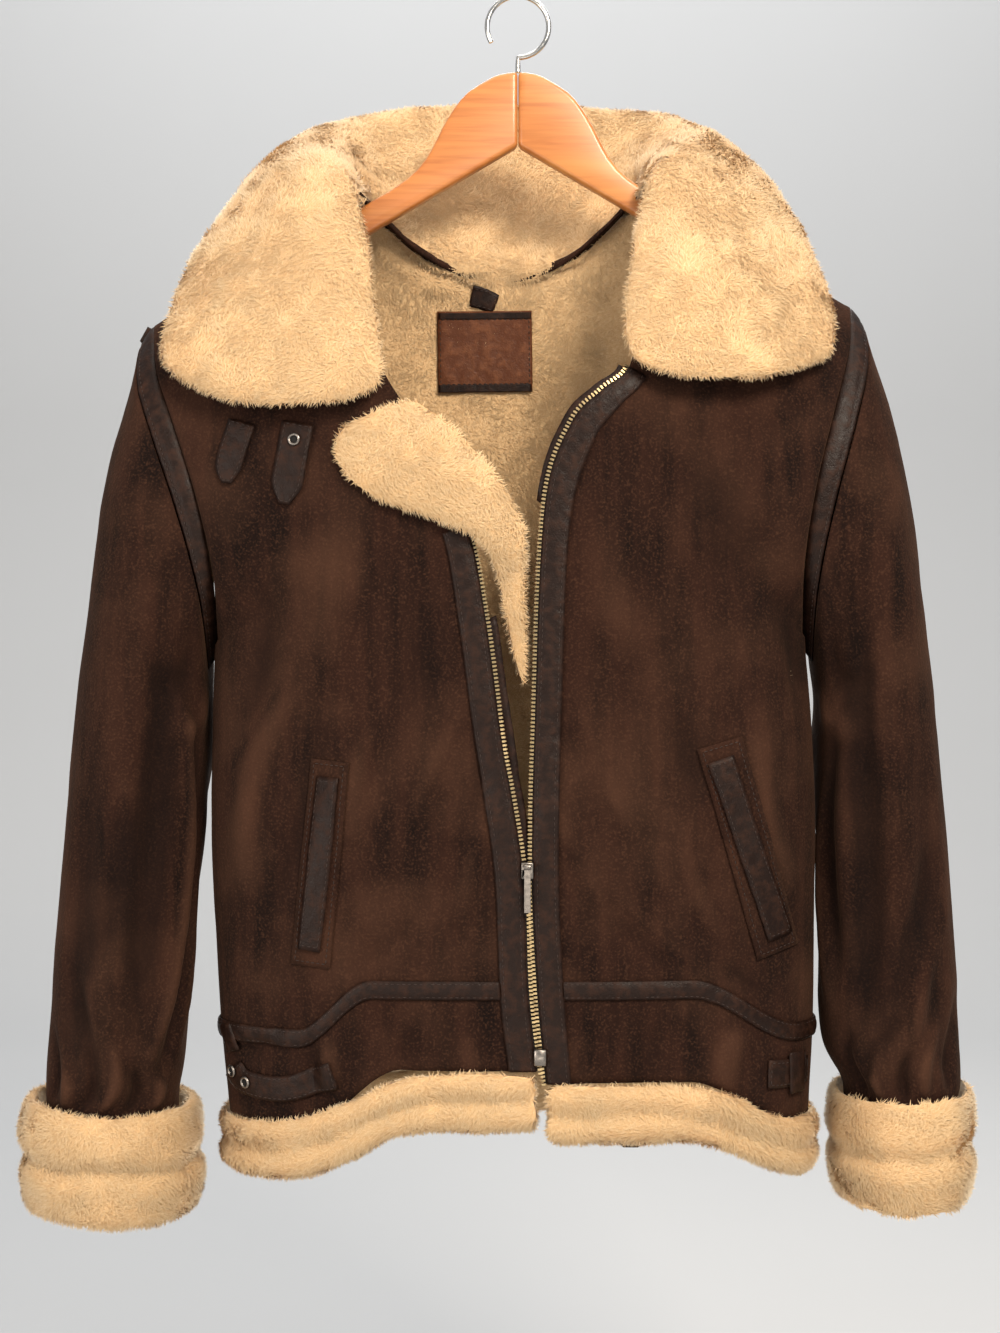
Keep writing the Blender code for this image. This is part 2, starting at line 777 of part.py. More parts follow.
def build_slider():
    """The slider's front plate with two ears and the pin that carries the pull."""
    body = block("zip_slider", SLIDER, SLIDER_SIZE, 0.7, nickel)
    x, y, z = SLIDER
    neck = block("neck", (x, y + (SLIDER_SIZE[1] + SLIDER_NECK[1]) / 2 - 0.5, z), SLIDER_NECK, 0, nickel)
    x, y, z = PULL_AXIS
    ears = []
    for side in (-1, 1):
        place = (x + side * EAR_SPREAD, y + EAR[1] / 2 - EAR[2] / 2, z)
        ears.append(block("ear", place, EAR, 0, nickel))
    bpy.ops.mesh.primitive_cylinder_add(
        vertices=12,
        radius=PIN_RADIUS * MM,
        depth=2 * EAR_SPREAD * MM,
        location=[value * MM for value in PULL_AXIS],
        rotation=(0, math.pi / 2, 0),
    )
    pin = bpy.context.object
    bpy.context.view_layer.update()
    joined(body, [neck, *ears, pin])
    block("zip_box", ZIP_BOX, ZIP_BOX_SIZE, 0.7, nickel)


def build_pull():
    """The pull: an eye round the pin and a tongue below it, drawn from the side."""
    curve = bpy.data.curves.new("zip_pull", "CURVE")
    curve.dimensions = "2D"
    curve.fill_mode = "BOTH"
    curve.extrude = PULL_HALF_WIDTH * MM
    start = math.asin(PULL_HALF_THICKNESS / EYE_RADIUS)
    outline = []
    for step in range(13):
        turn = start + (2 * math.pi - 2 * start) * step / 12
        outline.append((EYE_RADIUS * math.sin(turn), -EYE_RADIUS * math.cos(turn)))
    outline.append((-PULL_HALF_THICKNESS, -PULL_LENGTH))
    outline.append((PULL_HALF_THICKNESS, -PULL_LENGTH))
    hole = []
    for step in range(12):
        turn = 2 * math.pi * step / 12
        hole.append((EYE_HOLE * math.sin(turn), EYE_HOLE * math.cos(turn)))
    for points in (outline, hole):
        spline = curve.splines.new("POLY")
        spline.points.add(len(points) - 1)
        spline.use_cyclic_u = True
        for point, (across, up) in zip(spline.points, points):
            point.co = (across * MM, up * MM, 0, 1)
    curve.materials.append(nickel)
    pull = bpy.data.objects.new("zip_pull", curve)
    pull.rotation_euler = (math.pi / 2, 0, math.pi / 2)
    pull.location = [value * MM for value in PULL_AXIS]
    parts.objects.link(pull)


# ---- hanger ------------------------------------------------------------------------------------


HOOK_WIRE = 2.0  # radius of the hook's wire
HOOK_BEND = 24.0  # radius of its middle line
HOOK_FOOT = -57.6  # lower end of its stem, just above the wood


def build_hook():
    """The steel hook: a straight stem and a round bend whose inside top is the origin."""
    centre_z = HOOK_WIRE - HOOK_BEND
    route = [(0.0, HOOK_FOOT), (0.0, (HOOK_FOOT + centre_z - HOOK_BEND) / 2)]
    for degrees in range(-90, 211, 20):
        turn = math.radians(degrees)
        route.append((HOOK_BEND * math.cos(turn), centre_z + HOOK_BEND * math.sin(turn)))
    curve = bpy.data.curves.new("hanger_hook", "CURVE")
    curve.dimensions = "3D"
    curve.bevel_depth = HOOK_WIRE * MM
    curve.bevel_resolution = 2
    curve.use_fill_caps = True
    spline = curve.splines.new("POLY")
    spline.points.add(len(route) - 1)
    for point, (x, z) in zip(spline.points, route):
        point.co = (x * MM, HANGER_Y * MM, z * MM, 1)
    curve.materials.append(steel)
    parts.objects.link(bpy.data.objects.new("hanger_hook", curve))


def build_hanger():
    outline = filled(ARM_TOP, 2).tolist() + filled(ARM_BOTTOM, 1).tolist()
    for name, side in (("left", 1), ("right", -1)):
        curve = bpy.data.curves.new("hanger_" + name, "CURVE")
        curve.dimensions = "2D"
        curve.fill_mode = "BOTH"
        curve.extrude = HANGER_BOARD / 2 * MM
        spline = curve.splines.new("POLY")
        spline.points.add(len(outline) - 1)
        spline.use_cyclic_u = True
        for point, (x, z) in zip(spline.points, outline):
            point.co = (side * x * MM, z * MM, 0, 1)
        curve.materials.append(wood)
        board = bpy.data.objects.new("hanger_" + name, curve)
        board.rotation_euler = (math.pi / 2, 0, 0)
        board.location = (0, HANGER_Y * MM, 0)
        parts.objects.link(board)


# ---- small pieces ------------------------------------------------------------------------------


def surface(grid):
    """A grid's faces, for finding where a piece that lies on them goes."""
    rows, columns = grid.shape[:2]
    quads = [
        (r * columns + c, (r + 1) * columns + c, (r + 1) * columns + c + 1, r * columns + c + 1)
        for r in range(rows - 1)
        for c in range(columns - 1)
    ]
    return BVHTree.FromPolygons([tuple(point) for point in grid.reshape(-1, 3)], quads)


def found(tree, x, z, lift, start_y):
    """The point of a surface behind (x, start_y, z), moved towards the viewer, and its normal."""
    place, normal, _, _ = tree.ray_cast(Vector((x, start_y, z)), Vector((0, 1, 0)))
    if place is None:
        raise ValueError(f"no surface behind x {x:.0f}, z {z:.0f}")
    if normal.y > 0:
        normal = -normal
    return np.array(place + normal * lift), np.array(normal)


def strap(name, path, tree, material, lift=STRAP_LIFT, thickness=LEATHER, start_y=-400.0, cuts=3):
    """A flat piece lying on a surface, along a path of x, z and half width."""
    path = filled(path, cuts) if cuts > 1 else np.array(path, float)
    along = np.gradient(path[:, :2], axis=0)
    along /= np.linalg.norm(along, axis=-1, keepdims=True)
    across = np.stack([-along[:, 1], along[:, 0]], axis=-1)
    rows = []
    for (x, z, half), (side_x, side_z) in zip(path, across):
        row = []
        for share in (-1.0, -0.5, 0.0, 0.5, 1.0):
            point, _ = found(tree, x + side_x * half * share, z + side_z * half * share, lift, start_y)
            row.append(point)
        rows.append(row)
    grid = np.array(rows)
    front = normals(grid, 1)[..., 1].mean() < 0
    return sheet(name, grid, 1 if front else -1, thickness, material, inwards=False)


def eyelet(name, tree, x, z, lift):
    """A metal ring lying on a strap."""
    point, normal = found(tree, x, z, lift, -400.0)
    bpy.ops.mesh.primitive_torus_add(
        major_segments=10,
        minor_segments=5,
        major_radius=3.6 * MM,
        minor_radius=EYELET_WIRE * MM,
        location=tuple((point + normal * EYELET_WIRE) * MM),
        rotation=Vector(normal).to_track_quat("Z", "Y").to_euler(),
    )
    ring = bpy.context.object
    ring.name = name
    ring.data.materials.append(nickel)
    ring.data.shade_smooth()
    into_parts(ring)


EYELET_WIRE = 1.1
TAB = 2.0  # thickness of a strap or tab of doubled leather
ON_TAB = STRAP_LIFT + TAB + SEAM
ON_WAIST_STRIP = LIFT + LEATHER + 2 * SEAM
WELT_GAP = 0.85  # gap between a pocket's frame and the welt on it

POCKETS = (
    # name, top x, top z, bottom x, bottom z, half width of frame and of welt, gap below the frame
    ("left", 147, -577, 192, -733, 17, 9.5, 1.4),
    ("right", -138, -590, -153, -741, 14.5, 8, 0.8),
)
THROAT_STRAPS = (
    # name, rows of x, z, half width from under the collar to the point
    ("throat_strap_outer", ((-203, -342, 10), (-210, -364, 10), (-213, -376, 9), (-214, -386, 3))),
    ("throat_strap_inner", ((-161, -344, 11.5), (-166, -372, 11.5), (-169, -389, 11), (-171, -402, 3))),
)
SIDE_TABS = (
    # name, rows of x, z, half width, from the side seam forwards
    ("side_tab_right", ((-214, -824, 9), (-203, -832, 9), (-171, -833, 9), (-136, -820, 10))),
    ("side_tab_left", ((216, -824, 10), (200, -824, 10), (184, -823, 10))),
)
KEEPERS = (
    # name, rows of x, z, half width, from top to bottom
    ("keeper_right", ((-220, -791, 5), (-213, -810, 5))),
    ("keeper_left", ((206, -809, 6), (206, -839, 6))),
)


def build_pockets():
    for name, top_x, top_z, bottom_x, bottom_z, frame, welt, gap in POCKETS:
        tree = surface(left_front if name == "left" else right_front)
        line = ((top_x, top_z, frame), (bottom_x, bottom_z, frame))
        strap("pocket_frame_" + name, line, tree, suede, lift=gap, cuts=8)
        inner = ((top_x, top_z - 12, welt), (bottom_x, bottom_z + 12, welt))
        height = gap + LEATHER + WELT_GAP
        strap("pocket_welt_" + name, inner, tree, leather, lift=height, thickness=TAB, cuts=8)


def build_straps():
    left_tree = surface(left_front)
    right_tree = surface(right_front)
    for name, path in THROAT_STRAPS:
        strap(name, path, right_tree, leather, thickness=TAB)
    eyelet("throat_eyelet", right_tree, -163.5, -356, ON_TAB)
    for name, path in SIDE_TABS:
        tree = left_tree if "left" in name else right_tree
        strap(name, path, tree, leather, thickness=TAB)
    eyelet("tab_eyelet_inner", right_tree, -202, -831.5, ON_TAB)
    eyelet("tab_eyelet_outer", right_tree, -213, -825, ON_TAB)
    keeper_lift = {"keeper_right": ON_WAIST_STRIP, "keeper_left": ON_TAB}
    for name, path in KEEPERS:
        tree = left_tree if "left" in name else right_tree
        strap(name, path, tree, leather, lift=keeper_lift[name])


def build_neck_pieces():
    """The plain leather patch and the hanging loop on the back's lining."""
    pile_face = surface(moved(back, 1, -(SUEDE + 2 * LIFT + LINING)))
    patch = ((-64.5, -265, 32.5), (12, -264, 32.5))
    strap("label", patch, pile_face, label_leather, thickness=1.6, start_y=-20.0)
    loop = ((-32, -217, 7), (-27.5, -220, 7), (-23, -223, 7))
    strap("hang_loop", loop, pile_face, leather, lift=LIFT, thickness=TAB, start_y=-20.0, cuts=2)


def build_inner_strips():
    """The zip's guard behind the right front and the narrow facing at the left zip's top."""
    for name, grid, outward, first, last, reach in (
        ("zip_guard", right_front, -1, 7, 9, 9.0),
        ("zip_facing", left_front, 1, 4, 7, 8.0),
    ):
        inside = moved(grid, outward, -(SUEDE + LIFT))[first * SUBSTEPS : last * SUBSTEPS + 1]
        inward = inside[:, 0] - inside[:, 1]
        inward /= np.linalg.norm(inward, axis=-1, keepdims=True)
        strip = np.stack([inside[:, 0] + inward * reach, inside[:, 0] - inward * 12.0], axis=1)
        sheet(name, strip, outward, LEATHER, leather)


BACK_TAB_X = 95.0
BACK_TAB = (
    # y, z, half width
    (82, -835, 17),
    (84, -843, 17),
    (96, -852, 17),
    (98, -880, 17),
    (97, -905, 17),
    (96, -916, 13),
    (96, -922, 6),
)


def build_back_tab():
    """The rounded strap end that hangs below the back's hem."""
    rows = []
    for y, z, half in BACK_TAB:
        rows.append([(BACK_TAB_X + half * share, y, z) for share in (1.0, 0.0, -1.0)])
    sheet("back_tab", np.array(rows), 1, 2.0, leather, inwards=False)


def build_shoulder_nub():
    """The end of a leather loop that stands up on the right armhole band."""
    loop = armhole(-1)
    end = band_end(loop, -1)
    shares = np.array((0.15, 0.5, 0.8))[:, None, None]
    near_top = [-1, 0, 1]
    top = loop[near_top] * (1 - shares) + end[near_top] * shares
    sheet("shoulder_nub", moved(top, 1, LEATHER + LIFT), 1, 3.0, leather, inwards=False)


build_shell()
build_strips()
build_sleeves()
build_hem_fur("hem_fur_left", left_front, 1, -1.0, half_seam)
build_hem_fur("hem_fur_right", right_front, -1, -1.0, half_seam)
build_hem_fur("hem_fur_back", back, 1, half_seam, half_seam)
build_collar()
build_lapel()
build_lining()
build_zip()
build_slider()
build_pull()
build_inner_strips()
build_pockets()
build_straps()
build_neck_pieces()
build_back_tab()
build_shoulder_nub()
build_hanger()
build_hook()
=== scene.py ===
"""The looks of an aviator bomber jacket on its wooden hanger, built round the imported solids.

Metres, +Z up, front facing -Y, origin at the inside top of the hanger's hook. The tables are in
millimetres, and left and right are the wearer's.
"""

import math

import bpy
import numpy as np
from mathutils import Matrix, Vector
from mathutils.bvhtree import BVHTree


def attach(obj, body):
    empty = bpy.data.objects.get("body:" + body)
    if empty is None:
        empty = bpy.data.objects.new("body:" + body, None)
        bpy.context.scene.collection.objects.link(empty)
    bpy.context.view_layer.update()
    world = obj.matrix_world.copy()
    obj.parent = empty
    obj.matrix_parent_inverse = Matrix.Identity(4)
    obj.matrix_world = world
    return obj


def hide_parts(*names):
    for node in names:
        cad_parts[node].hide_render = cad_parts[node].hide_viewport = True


bl_info = {
    "name": "Bomber jacket on a hanger",
    "version": (1, 0, 0),
    "blender": (4, 5, 0),
    "location": "3D View > Sidebar > Jacket",
    "description": "Dresses the jacket's solids with suede, leather, pile, a zip and a hanger",
    "category": "Object",
}

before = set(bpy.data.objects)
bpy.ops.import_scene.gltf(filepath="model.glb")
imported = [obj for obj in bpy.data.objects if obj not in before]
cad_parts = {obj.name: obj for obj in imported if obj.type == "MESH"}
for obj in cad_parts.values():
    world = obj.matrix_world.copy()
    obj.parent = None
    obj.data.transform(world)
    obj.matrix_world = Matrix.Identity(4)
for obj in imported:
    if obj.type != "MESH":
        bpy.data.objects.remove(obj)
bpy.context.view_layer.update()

MM = 0.001
BODY = "jacket"
SUEDE = 2.4  # thickness of the suede
LEATHER = 1.3
SEAM = 0.4  # gap between two pieces at a seam
LIFT = 0.6  # gap below a piece that lies on another
STRAP_LIFT = 1.1
TAB = 2.0  # thickness of a strap or tab of doubled leather
ON_TAB = STRAP_LIFT + TAB + SEAM
ON_WAIST_STRIP = LIFT + LEATHER + 2 * SEAM
WELT_GAP = 0.85
SUBSTEPS = 12  # mesh rows for each row of a panel's table
ARM_ROWS = 6  # rows of the panel tables from the shoulder seam to the underarm
WAIST_ROW = 10  # row of the panel tables that the waist strip covers
WAIST = WAIST_ROW * SUBSTEPS
UNDERARM = ARM_ROWS * SUBSTEPS
SLEEVE_SUBSTEPS = 10
ZIP_HALF = 2.9  # width of half the zip

# How the jacket hangs a little to one side: height, sideways shift and lean there.
HANG = (
    # z, shift, lean
    (-140, -13, 0.028),
    (-300, -12, 0.026),
    (-500, -6, 0.012),
    (-700, -3, 0.004),
    (-870, 1, 0.0),
)

BAND_SHARE = 0.085  # share of a front panel that its zip band covers
FLAT_SIDE = 0.985  # share past which the side lies straight back
BAND_COLUMN = 8  # mesh column where the zip band ends
BODY_COLUMNS = 56  # mesh columns from there to where the side lies flat
NECK_SHARE = 0.41  # share of half the back where the shoulder seam meets the neck


def column_shares():
    """Places of the columns across half a panel, closest at the zip band and at the side."""
    band = np.linspace(0, BAND_SHARE, BAND_COLUMN + 1)
    spread = 1 - (1 - np.linspace(0, 1, BODY_COLUMNS + 1)) ** 1.4
    body = BAND_SHARE + (FLAT_SIDE - BAND_SHARE) * spread
    return np.concatenate([band, body[1:], np.array([(1 + FLAT_SIDE) / 2, 1.0])])


COLUMNS = column_shares()

# The armhole and the side seam, shared by front and back, before the jacket's lean.
FRONT_SIDE = (
    # x, y, z
    (270, 3, -249),
    (269, -14, -253),
    (262, -42, -290),
    (247, -60, -335),
    (231, -66, -390),
    (222, -54, -447),
    (226, -4, -503),
    (229, -2, -570),
    (231, 0, -650),
    (229, 0, -720),
    (226, 0, -795),
    (221, 0, -860),
)
BACK_SIDE = (
    # x, y, z
    (270, 3, -249),
    (269, 20, -253),
    (262, 46, -290),
    (249, 62, -335),
    (235, 67, -390),
    (226, 52, -447),
    (226, -4, -503),
    (229, -2, -570),
    (231, 0, -650),
    (229, 0, -720),
    (226, 0, -795),
    (221, 0, -860),
)

# Centre edge of each front, from the neck side down the neck seam and the zip.
LEFT_EDGE = (
    # x, y, z, roundness, drop start, drop end
    (99, 6, -142, 1.0, 0.0, 1.0),
    (98, -12, -146, 1.1, 0.0, 1.0),
    (93, -48, -200, 1.6, 0.0, 1.0),
    (86, -76, -262, 1.9, 0.0, 1.0),
    (80, -91, -303, 2.2, 0.0, 1.0),
    (60, -96, -321, 2.4, 0.0, 1.0),
    (38, -97, -345, 2.4, 0.0, 1.0),
    (19, -97, -405, 2.5, 0.0, 1.0),
    (12, -96, -560, 2.6, 0.1, 1.0),
    (10, -95, -669, 2.6, 0.3, 1.0),
    (14, -94, -757, 2.6, 0.52, 0.92),
    (20.5, -93, -825, 2.6, 0.5, 0.92),
)
RIGHT_EDGE = (
    # x, y, z, roundness, drop start, drop end
    (-125, 6, -149, 1.0, 0.0, 1.0),
    (-124, -12, -153, 1.1, 0.0, 1.0),
    (-119, -48, -205, 1.6, 0.0, 1.0),
    (-110, -76, -262, 1.9, 0.0, 1.0),
    (-100, -91, -303, 2.2, 0.0, 1.0),
    (-72, -96, -350, 2.4, 0.0, 1.0),
    (-39, -97, -417, 2.4, 0.0, 1.0),
    (-25, -97, -487, 2.5, 0.0, 1.0),
    (-13, -96, -575, 2.6, 0.1, 1.0),
    (2, -95, -669, 2.6, 0.3, 1.0),
    (6, -94, -757, 2.6, 0.48, 0.72),
    (12.5, -93, -816, 2.6, 0.42, 0.72),
)

# Centre line of the back, with how far the panel is drawn up and forward at the neck's side.
BACK_CENTRE = (
    # y, z, roundness, rise, draw
    (66, -203, 1.0, 77, -34),
    (70, -215, 1.2, 82, -25),
    (74, -245, 1.6, 66, -8),
    (77, -300, 2.0, 34, 0),
    (79, -370, 2.3, 12, 0),
    (80, -440, 2.5, 2, 0),
    (80, -503, 2.5, 0, 0),
    (80, -570, 2.6, 0, 0),
    (80, -650, 2.6, 0, 0),
    (80, -720, 2.6, 0, 0),
    (82, -778, 2.6, 0, 0),
    (84, -846, 2.6, 0, 0),
)

# Each sleeve as rings below its armhole band: outer and inner side, middle and half depth.
LEFT_SLEEVE = (
    # outer x, outer z, inner x, inner z, middle y, half depth
    (296, -350, 233, -545, 0, 71),
    (308, -430, 231, -582, -1, 69),
    (319, -520, 231, -625, -3, 66),
    (327, -605, 234, -672, -6, 63),
    (333, -685, 234, -725, -9, 60),
    (337, -750, 233, -778, -12, 59),
    (338, -804, 237, -812, -14, 60),
    (338, -833, 251, -838, -15, 59),
    (337, -850, 253, -855, -15, 58),
)
RIGHT_SLEEVE = (
    # outer x, outer z, inner x, inner z, middle y, half depth
    (-316, -362, -240, -548, 0, 71),
    (-329, -445, -239, -586, -1, 69),
    (-339, -530, -243, -629, -3, 66),
    (-346, -610, -248, -681, -6, 63),
    (-353, -690, -252, -738, -9, 60),
    (-359, -765, -256, -790, -12, 59),
    (-362, -812, -258, -824, -14, 58),
    (-363, -840, -262, -848, -15, 57),
    (-362, -858, -263, -866, -15, 56),
)
# Long creases of a sleeve: where they lie round it, half width, first and last ring, depth.
SLEEVE_CREASES = (
    # turn, width, first, last, press
    (118, 28, 1.0, 6.6, 9.0),
    (62, 24, 3.2, 7.6, 5.0),
    (248, 28, 1.2, 6.0, 8.0),
    (300, 24, 3.4, 7.6, 5.0),
)
# How far the armhole band reaches sideways and downwards: at top and underarm, and at front and back.
BAND_OUT, BAND_DOWN = (9.0, 18.0), (18.0, 6.0)
# Folds of the fronts and the back: where each starts and ends, half width, and how far it stands out.
PANEL_FOLDS = {
    "left": (
        # start x, start z, end x, end z, half width, height
        (30, -560, 62, -640, 9, -2.2),
        (44, -548, 84, -640, 8, 1.8),
        (22, -610, 66, -700, 8, 2.2),
        (24, -640, 50, -710, 7, -2.0),
        (60, -700, 110, -745, 9, -2.2),
        (70, -680, 128, -735, 8, 1.8),
        (112, -560, 128, -620, 11, -2.6),
        (120, -640, 150, -720, 9, 2.4),
        (150, -742, 182, -768, 7, -2.6),
        (176, -560, 204, -690, 13, 3.0),
        (196, -470, 210, -560, 11, -2.8),
        (120, -360, 165, -460, 26, -2.4),
        (60, -400, 90, -520, 24, 2.0),
        (160, -790, 150, -830, 9, 4.0),
        (96, -778, 90, -826, 12, -1.8),
        (40, -788, 36, -832, 10, 1.6),
    ),
    "right": (
        # start x, start z, end x, end z, half width, height
        (-20, -560, -52, -668, 9, -2.6),
        (-36, -545, -74, -655, 8, 2.2),
        (-12, -600, -40, -700, 8, 2.2),
        (-60, -600, -98, -690, 9, -2.4),
        (-70, -690, -122, -745, 9, -2.2),
        (-104, -560, -124, -640, 10, 2.4),
        (-150, -560, -186, -700, 12, -3.0),
        (-168, -540, -206, -690, 10, 2.8),
        (-188, -470, -216, -580, 12, -3.2),
        (-120, -400, -140, -520, 22, 2.2),
        (-70, -470, -84, -560, 20, -1.8),
        (-140, -795, -132, -835, 8, 4.0),
        (-158, -790, -152, -836, 7, -2.6),
        (-90, -775, -84, -824, 12, -1.8),
        (-36, -786, -30, -826, 9, 1.8),
        (-176, -790, -214, -812, 6, -2.4),
    ),
    "back": (
        # start x, start z, end x, end z, half width, height
        (-30, -330, -12, -560, 24, -2.6),
        (40, -320, 66, -520, 26, 2.4),
        (-96, -300, -120, -500, 24, 2.6),
        (120, -360, 96, -560, 20, -2.4),
        (-190, -400, -150, -560, 14, -3.6),
        (-206, -470, -170, -650, 12, 3.0),
        (192, -410, 146, -580, 14, -3.6),
        (205, -480, 168, -660, 12, 3.0),
        (-60, -600, -20, -740, 12, 2.6),
        (-84, -640, -52, -760, 10, -2.4),
        (30, -620, 74, -750, 12, -2.6),
        (96, -600, 120, -740, 10, 2.4),
        (-150, -680, -130, -770, 9, -2.2),
        (150, -690, 128, -768, 9, -2.4),
        (-100, -786, -96, -834, 9, 2.6),
        (0, -786, 6, -836, 10, -2.4),
        (100, -788, 110, -834, 9, 2.8),
    ),
}
# Creases of the sleeves: turn from the outer side over the front, ring, half width, and height.
SLEEVE_FOLDS = {
    "left": (
        # start turn, start ring, end turn, end ring, half width, height
        (150, 0.6, 100, 2.2, 9, -3.2),
        (162, 1.0, 118, 2.6, 8, 2.8),
        (140, 1.8, 150, 5.4, 10, -4.0),
        (158, 2.6, 160, 6.0, 8, 3.2),
        (60, 4.6, 96, 6.4, 11, -3.0),
        (44, 5.2, 84, 6.9, 9, 2.6),
        (96, 6.4, 128, 7.5, 8, -3.6),
        (60, 6.6, 84, 8.2, 7, 4.4),
        (84, 6.9, 104, 8.4, 6, -4.6),
        (112, 6.8, 124, 8.4, 6, 4.0),
        (28, 6.4, 50, 8.2, 8, -3.4),
        (140, 6.6, 146, 8.3, 7, -3.6),
        (210, 1.0, 250, 2.6, 10, -3.4),
        (196, 2.0, 222, 5.0, 10, 3.2),
        (262, 3.8, 230, 5.6, 12, -3.2),
        (300, 4.6, 262, 6.6, 10, 2.8),
        (250, 6.4, 236, 8.2, 7, -4.0),
        (286, 6.6, 278, 8.2, 7, 3.8),
        (320, 6.8, 306, 8.3, 7, -3.4),
    ),
    "right": (
        # start turn, start ring, end turn, end ring, half width, height
        (148, 0.5, 104, 2.0, 9, -3.2),
        (164, 0.9, 122, 2.4, 8, 3.0),
        (136, 1.6, 132, 6.6, 7, 4.2),
        (148, 1.8, 143, 7.0, 8, -5.2),
        (160, 3.0, 162, 6.4, 7, 3.0),
        (90, 3.6, 76, 5.6, 13, -2.4),
        (50, 5.6, 84, 7.0, 9, -2.8),
        (100, 6.6, 92, 8.4, 6, 4.4),
        (80, 6.8, 76, 8.4, 6, -4.2),
        (56, 7.0, 60, 8.4, 7, 3.8),
        (118, 7.0, 116, 8.4, 6, -4.6),
        (34, 6.6, 40, 8.3, 7, -3.2),
        (140, 7.2, 136, 8.4, 6, 3.6),
        (212, 1.0, 252, 2.6, 10, -3.4),
        (198, 2.0, 220, 5.2, 9, 3.2),
        (258, 3.6, 232, 5.4, 12, -3.2),
        (296, 4.8, 260, 6.6, 10, 2.8),
        (246, 6.6, 238, 8.3, 7, -4.0),
        (284, 6.7, 276, 8.3, 7, 3.6),
        (322, 6.8, 308, 8.3, 7, -3.4),
    ),
}
FOLD_DEPTH = 1.75  # how much deeper than in the tables the folds are made
DEGREE = 1.05  # length round a sleeve for each degree, near enough
RING = 74.0  # length along a sleeve for each ring of its table

SLEEVE_HALVES = {side: (f"sleeve_{side}_front", f"sleeve_{side}_back") for side in ("left", "right")}
PILE = (
    # node, hair length, hairs for each square millimetre, drawn in, droop, groove,
    # how it is held, its cut's width and length, what it lies on
    ("collar", 6.0, 0.72, 2.4, 0.25, 0.0, "folded", (0.13, 0.98), ("collar_under", "back")),
    ("lapel_right", 6.0, 0.9, 2.0, 0.3, 0.0, "folded", (0.055, 0.2), ("front_right",)),
    ("cuff_left", 6.5, 0.8, 2.6, 0.5, 3.6, "folded", (0.092, 0.34), SLEEVE_HALVES["left"]),
    ("cuff_right", 6.5, 0.8, 2.6, 0.5, 3.6, "folded", (0.092, 0.37), SLEEVE_HALVES["right"]),
    ("hem_fur_left", 6.0, 0.9, 2.2, 0.5, 1.6, "folded", (0.05, 0.24), ("hem_band_left",)),
    ("hem_fur_right", 6.0, 0.9, 2.2, 0.5, 1.6, "folded", (0.05, 0.26), ("hem_band_right",)),
    ("hem_fur_back", 6.0, 0.7, 2.2, 0.5, 1.6, "folded", (0.05, 0.5), ("hem_band_back",)),
    ("lining_back", 5.0, 0.42, 0.6, 0.4, 0.0, "hung", (0.55, 0.5), ("back",)),
    ("lining_left", 5.0, 0.35, 0.6, 0.4, 0.0, "hung", (0.17, 0.4), ("front_left",)),
    ("lining_right", 5.0, 0.4, 0.6, 0.4, 0.0, "hung", (0.17, 0.4), ("front_right",)),
)
COVERED = (
    "front_left", "front_right", "back", "hem_band_left", "hem_band_right", "hem_band_back", "collar_under",
    "armhole_band_left", "armhole_band_right", *SLEEVE_HALVES["left"], *SLEEVE_HALVES["right"],
)  # pieces against which the pile lies, where it grows no hairs
LININGS = ("lining_back", "lining_left", "lining_right")
MEETS = {
    "collar": ((*LININGS, "back", "front_left", "front_right"), 5.0, -7.0),
    "lining_back": (("collar",), 1.5, 5.0),
    "lining_left": (("collar",), 1.5, 5.0),
    "lining_right": (("collar",), 1.5, 5.0),
}  # pile pieces that meet at the neck seam, and how far each laps inwards and up over its raw edges
NECK_MIDDLE, NECK_REACH = np.array((-13.0, 8.0)), np.array((125.0, 68.0))  # seen from above
SEAM_REACH = 20.0  # how far from that seam the pile is brought up to its neighbour
SUEDE_REACH = 25.0  # how near the suede a pile's points are kept on its inner side


# ---- grids of the solids -----------------------------------------------------------------------


def filled(rows, steps):
    """A table's rows with a smooth curve through them: steps rows for each gap in the table."""
    rows = np.asarray(rows, float)
    padded = np.vstack([2 * rows[0] - rows[1], rows, 2 * rows[-1] - rows[-2]])
    result = []
    for i in range(len(rows) - 1):
        before, start, end, after = padded[i : i + 4]
        for k in range(steps):
            t = k / steps
            result.append(
                start
                + 0.5 * t * (end - before)
                + t * t * (before - 2.5 * start + 2 * end - 0.5 * after)
                + t**3 * 0.5 * (3 * start - before - 3 * end + after)
            )
    result.append(rows[-1])
    return np.array(result)


def filled_sides(rows):
    """A panel's side, with a corner at the underarm where the armhole meets the side seam."""
    upper = filled(rows[: ARM_ROWS + 1], SUBSTEPS)
    lower = filled(rows[ARM_ROWS:], SUBSTEPS)
    return np.concatenate([upper[:-1], lower])


def smooth(t):
    """From 0 to 1 in a soft step."""
    t = np.clip(t, 0, 1)
    return t * t * (3 - 2 * t)


def hung(point, side):
    """A point of the straight jacket, mirrored to its side and moved to where the jacket hangs."""
    heights = [row[0] for row in reversed(HANG)]
    shift = np.interp(point[2], heights, [row[1] for row in reversed(HANG)])
    lean = np.interp(point[2], heights, [row[2] for row in reversed(HANG)])
    x = side * point[0] + shift
    return np.array([x, point[1], point[2] + lean * x])


